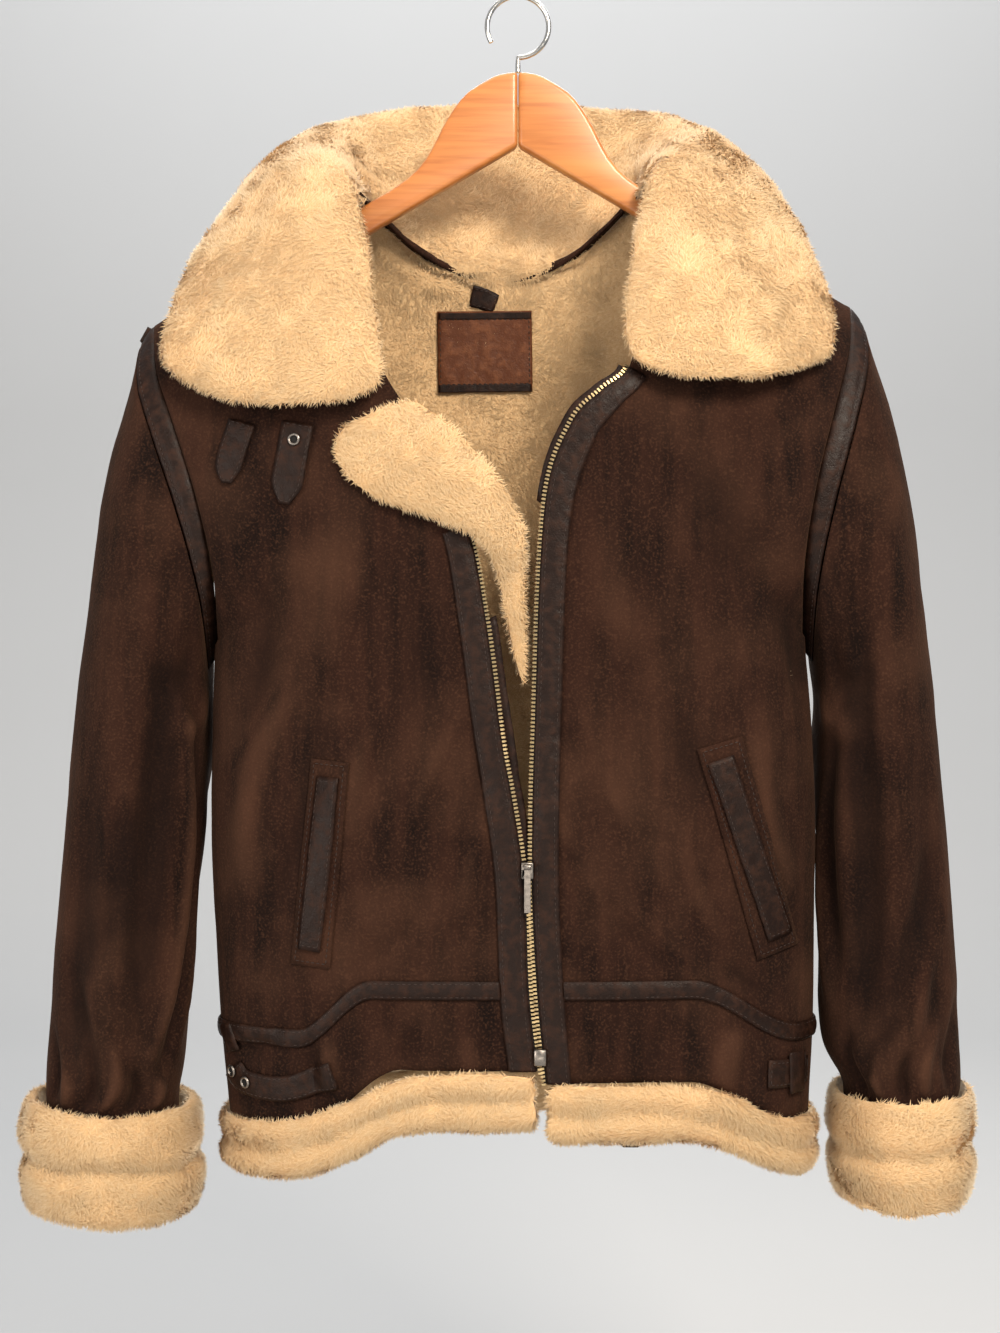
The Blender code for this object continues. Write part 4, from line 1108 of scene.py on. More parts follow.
def stitches(name, runs, slot="leather"):
    """Rows of sewing along lines with their normals, as small spindles of thread."""
    around = ((0.5, 0), (0, 0.6), (-0.5, 0))
    rings = [(along, *corner) for along in (-0.22, 0.22) for corner in around]
    spindle = np.array([(-0.5, 0, 0), *rings, (0.5, 0, 0)]) * STITCH
    turns = ((1, 2), (2, 3), (3, 1))
    sides = [(0, b, a) for a, b in turns] + [(a, b, b + 3, a + 3) for a, b in turns]
    sides += [(a + 3, b + 3, 7) for a, b in turns]
    points, faces = [], []
    pitch = settings().leather.pitch / MM
    for line, normal in runs:
        line, normal = evenly(line, pitch, normal)
        along = np.gradient(line, axis=0)
        along /= np.linalg.norm(along, axis=-1, keepdims=True)
        normal = normal - (normal * along).sum(-1, keepdims=True) * along
        normal /= np.linalg.norm(normal, axis=-1, keepdims=True)
        aside = np.cross(normal, along)
        for place, x, y, z in zip(line[:-1] + np.diff(line, axis=0) / 2, along, aside, normal):
            base = len(points) * len(spindle)
            points.append(place + spindle @ np.array([x, y, z]))
            faces += [tuple(base + k for k in side) for side in sides]
    mesh = bpy.data.meshes.new(name)
    mesh.from_pydata((np.concatenate(points) * MM).tolist(), [], faces)
    mesh.shade_smooth()
    settle(new_object(name, mesh, thread()), slot)


# ---- suede, strips and sleeves -----------------------------------------------------------------

HALF_SEAM = SEAM / 2
FRONT_CUT, FRONT_AREA = (0.28, 0.66), 0.15  # metres, and what the armhole and the neck leave of it
SLEEVE_CUT, SLEEVE_AREA = (0.42, 0.58), 0.18


def suede_panel(name, grid, outward, height, flat, trims, closed=False, nodes=None, area=None):
    """A wall of suede for one panel; the size it was cut to and its area are not used."""
    piece = grid_piece("suede_" + name, trimmed(grid, **trims), outward, suede(), closed, height)
    wall(piece, settings().suede.thickness / MM)
    settle(piece, "suede", *(nodes or [name]))


def build_panels():
    """The fronts, the back and the hem bands below the waist seam."""
    for name, grid, outward, height in (
        ("left", LEFT_FRONT, 1, LEFT_HEIGHT),
        ("right", RIGHT_FRONT, -1, RIGHT_HEIGHT),
    ):
        upper = {"top": HALF_SEAM, "bottom": HALF_SEAM, "last": HALF_SEAM}
        rows = grid[: WAIST + 1], outward, height[: WAIST + 1]
        suede_panel("front_" + name, *rows, FRONT_CUT, upper, area=FRONT_AREA)
        lower = {"top": HALF_SEAM, "last": HALF_SEAM}
        suede_panel("hem_band_" + name, grid[WAIST:], outward, height[WAIST:], (0.29, 0.08), lower)
    sides = {"first": HALF_SEAM, "last": HALF_SEAM}
    rows = BACK[: WAIST + 1], BACK_HEIGHT[: WAIST + 1]
    suede_panel("back", rows[0], 1, rows[1], (0.62, 0.66), {"top": HALF_SEAM, "bottom": HALF_SEAM, **sides})
    rows = BACK[WAIST:], BACK_HEIGHT[WAIST:]
    suede_panel("hem_band_back", rows[0], 1, rows[1], (0.57, 0.08), {"top": HALF_SEAM, **sides})


def leather_sheet(name, grid, outward, closed=False, thickness=LEATHER, inwards=False):
    """A strip or band of leather through a grid, walled to its thickness."""
    piece = grid_piece("leather_" + name, grid, outward, leather(), closed)
    wall(piece, thickness, inwards)
    settle(piece, "leather", name)


WAIST_HALF = 6.5  # half the width of the waist strip


def build_strips():
    """The strips over the waist seam and beside the zip, with their sewing."""
    runs = []
    for name, grid, outward, first, length, upper_panel in (
        ("left", LEFT_FRONT, 1, BAND_COLUMN, 0.28, "front_left"),
        ("right", RIGHT_FRONT, -1, BAND_COLUMN, 0.28, "front_right"),
        ("back", BACK, 1, 0, 0.57, "back"),
    ):
        out = normals(grid, outward)
        lifted = grid + out * LIFT
        upper, lower = [row_offset(lifted, WAIST, away)[first:] for away in (-WAIST_HALF, WAIST_HALF)]
        strip = strip_grid(upper, lower, out[WAIST, first:], rise=1.3, seed=31)
        leather_sheet("waist_strip_" + name, strip.swapaxes(0, 1), outward)
        for share in (0.13, 0.87):
            line = upper * (1 - share) + lower * share + out[WAIST, first:] * (LEATHER + 0.5)
            runs.append((line, out[WAIST, first:]))
    for name, grid, outward, top, length in (
        ("left", LEFT_FRONT, 1, 4 * SUBSTEPS, 0.57),
        ("right", RIGHT_FRONT, -1, 6 * SUBSTEPS, 0.4),
    ):
        out = normals(grid, outward)[top:]
        lifted = (grid + normals(grid, outward) * LIFT)[top:]
        strip = strip_grid(lifted[:, 0], lifted[:, BAND_COLUMN], out[:, 3], rise=0.9, pucker=0.4, seed=37)
        leather_sheet("zip_band_" + name, strip, outward)
        for share in (0.16, 0.84):
            line = lifted[:, 0] * (1 - share) + lifted[:, BAND_COLUMN] * share + out[:, 3] * (LEATHER + 0.35)
            runs.append((line, out[:, 3]))
    stitches("thread_waist_and_front", runs)


ARMHOLE_BAND = LEATHER + 1  # thickness of the armhole band with its turned-in edges


def build_sleeves():
    """The sleeves with their leather armhole bands, and the loop end on the shoulder."""
    runs = []
    for name, table, side in (("left", LEFT_SLEEVE, 1), ("right", RIGHT_SLEEVE, -1)):
        grid, height = finished_sleeve(table, side)
        halves = SLEEVE_HALVES[name]
        suede_panel("sleeve_" + name, grid, -side, height, SLEEVE_CUT, {}, True, halves, SLEEVE_AREA)
        loop = armhole(side)
        end = band_end(loop, side)
        shares = np.concatenate([[-0.12], np.linspace(0.06, 0.93, 11)])[:, None, None]
        band = loop * (1 - shares) + end * shares
        out = normals(band, -side, closed=True)
        profile = 1.2 * np.sin(np.pi * np.linspace(0, 1, 11)) ** 0.5
        profile -= 0.5 * np.exp(-(((np.linspace(0, 1, 11) - 0.75) / 0.09) ** 2))
        profile = np.concatenate([[-SUEDE - LIFT], profile])  # its first edge is tucked in under the panel
        ripple = 0.25 * soft_noise(band, 4, 41)
        band = band + out * (profile[:, None, None] + ripple[..., None])
        leather_sheet(
            "armhole_band_" + name, band, -side, True, ARMHOLE_BAND, inwards=True
        )
        sewn, facing = band[9] + out[9] * 0.25, out[9]
        runs.append((np.concatenate([sewn, sewn[:1]]), np.concatenate([facing, facing[:1]])))
    stitches("thread_armholes", runs)
    nub = corner_copy("shoulder_nub", "leather_shoulder_nub", leather())
    settle(nub, "leather", "shoulder_nub")


# ---- pile --------------------------------------------------------------------------------------


def surface(grid):
    """A grid's faces, for finding where a piece that lies on them goes."""
    return BVHTree.FromPolygons(grid.reshape(-1, 3).tolist(), grid_faces(grid).reshape(-1, 4).tolist())


def node_tree(nodes):
    """The faces of some nodes, for finding what lies near them."""
    points, faces = [], []
    for node in nodes:
        place, _, corners = mesh_arrays(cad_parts[node].data)
        faces += (corners + len(points)).tolist()
        points += place.tolist()
    return BVHTree.FromPolygons(points, faces)


def mesh_arrays(mesh):
    """A mesh's points and vertex normals, and its triangles."""
    points = np.empty(len(mesh.vertices) * 3)
    mesh.vertices.foreach_get("co", points)
    out = np.empty(len(mesh.vertices) * 3)
    mesh.vertices.foreach_get("normal", out)
    mesh.calc_loop_triangles()
    corners = np.empty(len(mesh.loop_triangles) * 3, dtype=np.int32)
    mesh.loop_triangles.foreach_get("vertices", corners)
    return points.reshape(-1, 3) / MM, out.reshape(-1, 3), corners.reshape(-1, 3)


def in_neck(points):
    """Whether points lie inside the neck, seen from above."""
    return np.linalg.norm((NECK_MIDDLE - points[..., :2]) / NECK_REACH, axis=-1) <= 1


def drawn_to_seam(points, nodes, inwards, up):
    """A pile's points with those near the neck seam brought up to it, so that no gap shows there."""
    tree = node_tree(nodes)
    points = points.copy()
    for point in points:
        if not in_neck(point):
            continue
        lap = (*(unit(NECK_MIDDLE - point[:2]) * inwards), up)
        near, _, _, gap = tree.find_nearest(Vector(point), SEAM_REACH)
        if near and gap > SEAM:
            share = smooth(2 * (SEAM_REACH - gap) / SEAM_REACH)
            point += ((np.array(near) - point) * (1 - SEAM / gap) + np.array(lap)) * share
    return points


def kept_behind(points, panels, depth, in_neck_only=False):
    """A pile's points, moved in where they would come through the folded suede outside them."""
    points = points.copy()
    for grid, outward in panels:
        tree = surface(grid)
        for point in points:
            if in_neck_only and not in_neck(point):
                continue
            near, facing, _, gap = tree.find_nearest(Vector(point), SUEDE_REACH)
            if near is None:
                continue
            out = np.array(facing) * outward
            inside = -((point - np.array(near)) @ out)
            if inside < depth:
                point -= out * (depth - inside) * smooth(2 * (SUEDE_REACH - gap) / SUEDE_REACH)
    return points


def middle_height(points, bin_width=12.0):
    """Height halfway up a band of pile at each of its points, from how it runs along X."""
    low_x = points[:, 0].min()
    bins = ((points[:, 0] - low_x) / bin_width).astype(int)
    middles = []
    for place in range(bins.max() + 1):
        heights = points[bins == place, 2]
        middles.append((heights.min() + heights.max()) / 2 if len(heights) else np.nan)
    middles = np.array(middles)
    centres = low_x + (np.arange(len(middles)) + 0.5) * bin_width
    known = ~np.isnan(middles)
    return np.interp(points[:, 0], centres[known], middles[known])


def pile_base(node, drawn_in, groove, seed):
    """The soft ground that a pile grows from: the node's form, drawn in and gently lumpy."""
    piece = corner_copy(node, "pile_" + node, pile_ground(), crease=False)
    points, out, _ = mesh_arrays(piece.data)
    lumpy = 2.0 * soft_noise(points, 42, seed) + 0.9 * soft_noise(points, 16, seed + 1)
    if node in LININGS:
        lumpy = 0.9 * soft_noise(points, 30, seed) + 0.8 * soft_noise(points, 9, seed + 1)
    if groove:
        lumpy += 1.3 * soft_noise(points, 30, seed + 3)
        below = points[:, 2] - middle_height(points) + 3.0 * soft_noise(points, 50, seed + 2)
        lumpy -= groove * np.exp(-((below / 4.5) ** 2))
        lumpy += 0.4 * groove * np.exp(-(((np.abs(below) - 13) / 8) ** 2))
    points = points + out * (lumpy - drawn_in)[:, None]
    if node in MEETS:
        points = drawn_to_seam(points, *MEETS[node])
    if node in LININGS:
        points = kept_behind(points, ((LEFT_FRONT, 1), (RIGHT_FRONT, -1), (BACK, 1)), SUEDE + LIFT)
    elif node == "collar":
        points = kept_behind(points, ((BACK, 1),), SUEDE + 2 * LIFT, in_neck_only=True)
    piece.data.vertices.foreach_set("co", (points * MM).ravel())
    piece.data.update()
    return piece


def unit(vectors):
    """Vectors of length 1 that point the same way."""
    return vectors / np.maximum(np.linalg.norm(vectors, axis=-1, keepdims=True), 1e-9)


def pile_hair_mesh(name, base, length, density, droop, tree, seed):
    """Single-faced hairs all over a pile's open side, leaning in tufts and paler at their tips."""
    points, out, corners = mesh_arrays(base.data)
    middle = points[corners].mean(axis=1)
    edges = points[corners[:, 1:]] - points[corners[:, :1]]
    facing = np.cross(edges[:, 0], edges[:, 1])
    area = np.linalg.norm(facing, axis=-1) / 2
    facing = unit(facing)
    free = np.array(
        [tree.ray_cast(Vector(m), Vector(f), length + 1.0)[0] is None for m, f in zip(middle, facing)]
    )
    area = area * free
    rng = np.random.default_rng(seed)
    count = int(area.sum() * density * settings().pile.density)
    chosen = rng.choice(len(corners), count, p=area / area.sum())
    a, b = rng.random((2, count))
    over = a + b > 1
    a[over], b[over] = 1 - a[over], 1 - b[over]
    weight = np.stack([1 - a - b, a, b], axis=-1)[..., None]
    root = (points[corners[chosen]] * weight).sum(axis=1)
    normal = unit((out[corners[chosen]] * weight).sum(axis=1))
    lean = np.stack([soft_noise(root, 13, seed + k) for k in range(3)], axis=-1)
    lean += 0.8 * np.stack([soft_noise(root, 40, seed + 5 + k) for k in range(3)], axis=-1)
    lean += 0.45 * rng.normal(size=(count, 3)) + np.array((0, 0, -droop))
    lean -= (lean * normal).sum(-1, keepdims=True) * normal
    lying = 62 + 15 * np.clip(normal[:, 2], 0, 1)  # on its upper side the wool lies flatter
    tilt = np.radians(np.clip(rng.normal(lying, 7), 40, 82))[:, None]
    grow = normal * np.cos(tilt) + unit(lean) * np.sin(tilt)
    reach = length * rng.uniform(0.75, 1.1, count)[:, None]
    aside = unit(np.cross(grow, normal)) * rng.uniform(0.38, 0.62, count)[:, None]
    place = np.stack([root - aside, root + aside, root + grow * reach], axis=1)
    mesh = bpy.data.meshes.new(name)
    mesh.vertices.add(3 * count)
    mesh.vertices.foreach_set("co", (place * MM).ravel().astype(np.float32))
    mesh.loops.add(3 * count)
    mesh.loops.foreach_set("vertex_index", np.arange(3 * count, dtype=np.int32))
    mesh.polygons.add(count)
    mesh.polygons.foreach_set("loop_start", np.arange(0, 3 * count, 3, dtype=np.int32))
    mesh.update()
    # the partings, where the hairs are mixed towards painted shade; the tone holds this and a random tone
    parting_shade = np.clip(1 - np.abs(soft_noise(root, 21, seed + 11)) * 9, 0, 1)
    parting_shade *= np.clip(3 * soft_noise(root, 60, seed + 12) - 0.6, 0, 1)
    tones = 0.1 * soft_noise(root, 9, seed + 13) + 0.3 * parting_shade
    tones = np.clip(tones + rng.normal(0.05, 0.08, count), 0, 0.7)
    # along runs from 0 at a hair's root, which is painted with shade, to 1 at its tip
    put_float(mesh, "along", np.tile((0.0, 0.0, 1.0), count))
    put_float(mesh, "tone", np.repeat(tones, 3))
    shown = np.stack([normal, normal, unit(normal + 0.5 * grow)], axis=1).reshape(-1, 3)
    mesh.shade_smooth()
    mesh.normals_split_custom_set_from_vertices(shown.tolist())
    return new_object(name, mesh, pile_hairs())


def build_pile():
    """Every pile piece: its ground, and the hairs that grow from it."""
    tree = node_tree(COVERED)
    for place, (node, length, density, drawn_in, droop, groove, held, flat, carriers) in enumerate(PILE):
        seed = 101 + 31 * place
        base = pile_base(node, drawn_in, groove, seed)
        hairs = pile_hair_mesh("hairs_" + node, base, length, density, droop, tree, seed)
        settle(base, "pile", node)
        settle(hairs, "pile")


STAND_ROWS = 15
BEHIND_Y = 300.0  # rays from behind start here
STAND_TOP = -158.0  # height up to which the stand runs, under the collar's suede
STAND_TUCK = 5.0  # how far its lower edge is tucked in behind the back
STAND_LIFT = 2.4
STAND_BLEND = 0.3  # share of its height over which it comes out from behind the back


def build_under_collar():
    """The suede underside of the collar."""
    under = corner_copy("collar_under", "suede_under_collar", suede())
    settle(under, "suede", "collar_under")


def build_collar_stand():
    """The strip of suede that joins the collar's underside to the back, seen from behind."""
    tree = node_tree(("collar", "collar_under"))
    seam = BACK[0, in_neck(BACK[0])]
    rows = []
    for share in np.linspace(0, 1, STAND_ROWS):
        row = []
        for x, y, z in seam[::2]:
            height = (z - STAND_TUCK) * (1 - share) + STAND_TOP * share
            place = tree.ray_cast(Vector((x, BEHIND_Y, height)), Vector((0, -1, 0)))[0]
            out = place.y + STAND_LIFT if place is not None else y
            blend = smooth(share / STAND_BLEND)
            row.append((x, (y - SUEDE - LIFT) * (1 - blend) + out * blend, height))
        rows.append(row)
    stand = grid_piece("suede_collar_stand", np.array(rows)[::-1], 1, suede())
    wall(stand, LEATHER)
    settle(stand, "suede")


# ---- zip ---------------------------------------------------------------------------------------

TOOTH = (2.6, 1.5, 1.9)  # reach, width and height of one tooth
SLIDER_Z = -669.0


def tooth_shape():
    """One tooth, modelled once: a block with a knob at its meeting end."""
    bpy.ops.object.select_all(action="DESELECT")
    bpy.ops.mesh.primitive_cube_add(size=1)
    block = bpy.context.object
    block.data.transform(Matrix.Diagonal((*TOOTH, 1)))
    bpy.ops.object.mode_set(mode="EDIT")
    bpy.ops.mesh.select_all(action="DESELECT")
    bpy.ops.object.mode_set(mode="OBJECT")
    for face in block.data.polygons:
        face.select = face.normal.x > 0.9
    bpy.ops.object.mode_set(mode="EDIT")
    bpy.ops.mesh.inset(thickness=0.25)
    bpy.ops.mesh.extrude_region_move(TRANSFORM_OT_translate={"value": (0.5, 0, 0)})
    bpy.ops.object.mode_set(mode="OBJECT")
    points, _, _ = mesh_arrays(block.data)
    faces = [tuple(face.vertices) for face in block.data.polygons]
    bpy.data.objects.remove(block, do_unlink=True)
    return points * MM, faces


def copies(name, shape, faces, places, material):
    """One mesh of many copies of a shape; each place is a point and three axes."""
    count = len(shape)
    points = np.concatenate([place + shape @ axes for place, axes in places])
    every = [tuple(i * count + k for k in face) for i in range(len(places)) for face in faces]
    mesh = bpy.data.meshes.new(name)
    mesh.from_pydata((points * MM).tolist(), [], every)
    mesh.shade_smooth()
    mesh.set_sharp_from_angle(angle=math.radians(35))
    return new_object(name, mesh, material)


def build_zip():
    """Both halves of the zip: a woven tape and its metal teeth, meshed below the slider."""
    shape, faces = tooth_shape()
    brass = metal("antique_brass", settings().zip.teeth, 0.34)
    tape = plain("woven_tape", settings().zip.tape, 0.85, mottle=0.8)
    pitch = settings().zip.pitch / MM
    for name, grid, outward, top, shift in (
        ("left", LEFT_FRONT, 1, 4 * SUBSTEPS, 0.0),
        ("right", RIGHT_FRONT, -1, 6 * SUBSTEPS, 0.5),
    ):
        edge, inner, out = grid[top:, 0], grid[top:, 1], normals(grid, outward)[top:, 1]
        inward = unit(edge - inner)
        edge, inward, out = evenly(edge, pitch, inward, out)
        inward = unit(inward)
        along = unit(np.gradient(edge, axis=0))
        out = unit(out - (out * along).sum(-1, keepdims=True) * along)
        inward = unit(np.cross(out, along)) * np.sign((np.cross(out, along) * inward).sum(-1, keepdims=True))
        web = np.stack([edge + inward * (SEAM - 3.5), edge + inward * (SEAM + ZIP_HALF - 0.8)], axis=1)
        web -= out[:, None] * 0.9
        sheet = grid_piece("zip_tape_" + name, web, outward, tape)
        wall(sheet, 0.8)
        settle(sheet, "leather")
        places = []
        for place, x, y, z in zip(edge + along * pitch * shift, inward, along, out):
            meshed = 0.5 if place[2] < SLIDER_Z else 0.0
            places.append((place + x * (SEAM + 1.6 + meshed) + z * 0.3, np.array([x, y, z])))
        teeth = copies("zip_teeth_" + name, shape, faces, places, brass)
        settle(teeth, "zip_metal", "zip_" + name)


def build_slider():
    """The slider, its pull and the box at the zip's lower end."""
    for node, name, width, body in (
        ("zip_slider", "slider_body", 0.45, BODY),
        ("zip_pull", "slider_pull", 0.4, "pull"),
        ("zip_box", "zip_lower_box", 0.35, BODY),
    ):
        settle(bevelled_copy(node, name, dark_nickel(), width), "zip_metal", node, body=body)


def build_inner_strips():
    """The leather guard behind the right front and the facing at the left zip's top."""
    for name, grid, outward, first, last, reach, flat, carrier in (
        ("zip_guard", RIGHT_FRONT, -1, 7, 9, 9.0, (0.021, 0.18), "front_right"),
        ("zip_facing", LEFT_FRONT, 1, 4, 7, 8.0, (0.02, 0.14), "front_left"),
    ):
        inside = moved(grid, outward, -(SUEDE + LIFT))[first * SUBSTEPS : last * SUBSTEPS + 1]
        inward = unit(inside[:, 0] - inside[:, 1])
        shares = np.linspace(reach, -12.0, 7)
        strip = np.stack([inside[:, 0] + inward * share for share in shares], axis=1)
        strip += 0.3 * soft_noise(strip, 6, 51)[..., None]
        leather_sheet(name, strip, outward, inwards=True)


# ---- pockets, straps and the neck --------------------------------------------------------------


def found(tree, x, z, lift, start_y=-400.0):
    """The point of a surface behind (x, start_y, z), moved towards the viewer, and its normal."""
    place, normal, _, _ = tree.ray_cast(Vector((x, start_y, z)), Vector((0, 1, 0)))
    if place is None:
        raise ValueError(f"no surface behind x {x:.0f}, z {z:.0f}")
    if normal.y > 0:
        normal = -normal
    return np.array(place + normal * lift), np.array(normal)


def strap_grid(path, tree, lift, step=3.0, start_y=-400.0):
    """Points of a flat piece that lies on a surface, along a path of x, z and half width."""
    path = np.array(path, float)
    if len(path) > 2:
        path = filled(path, 6)
    path = evenly(path[:, :2], step, path[:, 2:])
    path = np.concatenate(path, axis=1)
    along = unit(np.gradient(path[:, :2], axis=0))
    aside = np.stack([-along[:, 1], along[:, 0]], axis=-1)
    grid, out = [], []
    for (x, z, half), (side_x, side_z) in zip(path, aside):
        shifts = half * (2 * ACROSS - 1)
        row = [found(tree, x + side_x * shift, z + side_z * shift, lift, start_y) for shift in shifts]
        grid.append([place for place, _ in row])
        out.append([normal for _, normal in row])
    return np.array(grid), np.array(out)


def strap(name, path, tree, material, carrier, flat, thickness=TAB, lift=STRAP_LIFT, slot="leather", **how):
    """A sewn strap or patch: rounded over its edges, with a row of sewing inside them."""
    grid, out = strap_grid(path, tree, lift, **how)
    facing = -1 if normals(grid, 1)[..., 1].mean() > 0 else 1
    drop = 0.7 * (np.abs(2 * ACROSS - 1) ** 6)
    ends = np.minimum(np.arange(len(grid)), np.arange(len(grid))[::-1])
    fall = 0.6 * np.exp(-ends / 0.7)
    ripple = 0.35 * soft_noise(grid, 7, 61) + 0.2 * soft_noise(grid, 2.6, 62)
    raised = grid + out * (ripple - np.maximum(drop[None], fall[:, None]) + 0.35)[..., None]
    piece = grid_piece(name, raised, facing, material)
    wall(piece, thickness, inwards=False)
    settle(piece, slot, name.split("leather_")[-1].split("suede_")[-1])
    top = raised + out * (thickness + 0.15)
    runs = [(top[1:-1, k], out[1:-1, k]) for k in (1, -2)]
    runs += [(top[k, 1:-1], out[k, 1:-1]) for k in (1, -2)]
    return runs


POCKETS = (
    # name, top x, top z, bottom x, bottom z, half width of frame and of welt, gap below the frame
    ("left", 147, -577, 192, -733, 17, 9.5, 1.4),
    ("right", -138, -590, -153, -741, 14.5, 8, 0.8),
)
THROAT_STRAPS = (
    # name, rows of x, z, half width from under the collar to the point
    ("throat_strap_outer", ((-203, -342, 10), (-210, -364, 10), (-213, -376, 9), (-214, -386, 3))),
    ("throat_strap_inner", ((-161, -344, 11.5), (-166, -372, 11.5), (-169, -389, 11), (-171, -402, 3))),
)
SIDE_TABS = (
    # name, what it lies on, length in metres, rows of x, z, half width, from the side seam forwards
    (
        "side_tab_right", "hem_band_right", 0.085,
        ((-214, -824, 9), (-203, -832, 9), (-171, -833, 9), (-136, -820, 10)),
    ),
    ("side_tab_left", "hem_band_left", 0.042, ((216, -824, 10), (200, -824, 10), (184, -823, 10))),
)
KEEPERS = (
    # name, what it lies on, gap below it, rows of x, z, half width, from top to bottom
    ("keeper_right", "waist_strip_right", ON_WAIST_STRIP, ((-220, -791, 5), (-213, -810, 5))),
    ("keeper_left", "side_tab_left", ON_TAB, ((206, -809, 6), (206, -839, 6))),
)
EYELETS = (
    # name, x, z
    ("throat_eyelet", -163.5, -356),
    ("tab_eyelet_inner", -202, -831.5),
    ("tab_eyelet_outer", -213, -825),
)
EYELET_RING, EYELET_WIRE = 3.6, 1.1


def build_pockets():
    """A suede frame with a leather welt on it for each slanted pocket."""
    runs = []
    for name, top_x, top_z, bottom_x, bottom_z, frame_half, welt_half, gap in POCKETS:
        tree = surface(LEFT_FRONT if name == "left" else RIGHT_FRONT)
        line = ((top_x, top_z, frame_half), (bottom_x, bottom_z, frame_half))
        frame_name, frame_cut = "suede_pocket_frame_" + name, (2 * frame_half * MM, 0.164)
        runs += strap(frame_name, line, tree, suede(), "front_" + name, frame_cut, LEATHER, gap, "suede")
        inner = ((top_x, top_z - 12, welt_half), (bottom_x, bottom_z + 12, welt_half))
        welt_name, welt_cut = "leather_pocket_welt_" + name, (2 * welt_half * MM, 0.14)
        lift = gap + LEATHER + WELT_GAP
        runs += strap(welt_name, inner, tree, leather(), "pocket_frame_" + name, welt_cut, TAB, lift)
    stitches("thread_pockets", runs)


def build_straps():
    """The throat straps, the side tabs and their keepers."""
    left_tree, right_tree = surface(LEFT_FRONT), surface(RIGHT_FRONT)
    runs = []
    for name, path in THROAT_STRAPS:
        runs += strap("leather_" + name, path, right_tree, leather(), "front_right", (0.023, 0.06), step=1.5)
    for name, carrier, length, path in SIDE_TABS:
        tree = left_tree if "left" in name else right_tree
        runs += strap("leather_" + name, path, tree, leather(), carrier, (0.022, length), step=1.5)
    for name, carrier, lift, path in KEEPERS:
        tree = left_tree if "left" in name else right_tree
        strap("leather_" + name, path, tree, leather(), carrier, (0.013, 0.042), LEATHER, lift, step=1.5)
    stitches("thread_straps", runs)


def build_eyelets():
    """Rolled nickel eyelets, each with a near-black disc in it as the painted shade of the hole through the
    strap.
    """
    hole = plain("shadowed_hole", linear("#070504")[:3], 0.9)
    tree = surface(RIGHT_FRONT)
    for name, x, z in EYELETS:
        place, out = found(tree, x, z, ON_TAB + 0.9)
        spin = Vector(out).to_track_quat("Z", "Y").to_matrix().to_4x4()
        bpy.ops.object.select_all(action="DESELECT")
        bpy.ops.mesh.primitive_torus_add(
            major_segments=40, minor_segments=14, major_radius=EYELET_RING * MM, minor_radius=EYELET_WIRE * MM
        )
        ring = bpy.context.object
        ring.name = "rolled_" + name
        ring.data.transform(Matrix.Translation(Vector(place * MM)) @ spin)
        ring.data.materials.append(dark_nickel())
        ring.data.shade_smooth()
        settle(ring, "dark_metal", name)
        # a near-black disc, the painted shade of the hole
        bpy.ops.mesh.primitive_circle_add(vertices=24, radius=(EYELET_RING - 0.6) * MM, fill_type="NGON")
        disc = bpy.context.object
        disc.name = "hole_shade_in_" + name
        disc.data.transform(Matrix.Translation(Vector((place - out * 0.4) * MM)) @ spin)
        disc.data.materials.append(hole)
        settle(disc, "leather")


# What lies on the lining in the neck, as rows of x, z and half width.
PILE_DEPTH = 7.0
PATCH = ((-64.5, -265, 32.5), (12, -264, 32.5))
PATCH_THICKNESS = 1.6
HANG_LOOP = ((-37, -220, 8), (-28, -222, 8), (-18, -226, 7))
PATCH_BANDS = (
    # upper z, lower z
    (-233.5, -238.5),
    (-291.5, -297.5),
)
BAND_THICKNESS = 0.5
INSIDE_Y = -20.0  # rays for these pieces start inside the jacket


def build_neck_pieces():
    """The bare tan patch with its two dark bands, and the hanging loop above it."""
    face = surface(moved(FLAT_BACK, 1, -(SUEDE + 2 * LIFT + PILE_DEPTH)))
    inside = {"start_y": INSIDE_Y}
    runs = strap(
        "leather_label", PATCH, face, tan_leather(), "lining_back", (0.065, 0.077), PATCH_THICKNESS,
        slot="tan_leather", step=2.0, **inside
    )
    runs += strap(
        "leather_hang_loop", HANG_LOOP, face, leather(), "lining_back", (0.018, 0.021), lift=LIFT, step=1.0,
        **inside
    )[:2]
    for upper, lower in PATCH_BANDS:
        middle, half = (upper + lower) / 2, (upper - lower) / 2
        line = ((-64.0, middle, half), (11.5, middle + 1, half))
        band, _ = strap_grid(line, face, STRAP_LIFT + 2.0, 2.0, **inside)
        facing = -1 if normals(band, 1)[..., 1].mean() > 0 else 1
        piece = grid_piece(f"band_on_label_{int(-upper)}", band, facing, leather())
        wall(piece, BAND_THICKNESS, inwards=False)
        settle(piece, "leather")
    stitches("thread_neck", runs, "tan_leather")


def build_back_tab():
    """The rounded tab end that hangs below the back's hem."""
    tab = corner_copy("back_tab", "leather_back_tab", leather())
    settle(tab, "leather", "back_tab")


# ---- hanger ------------------------------------------------------------------------------------

HOOK_WIRE, HOOK_BEND, HOOK_FOOT = 2.0, 24.0, -57.6  # radii of wire and bend, and height of its foot
HOOK_TURNS = range(-90, 211, 5)  # degrees round its bend


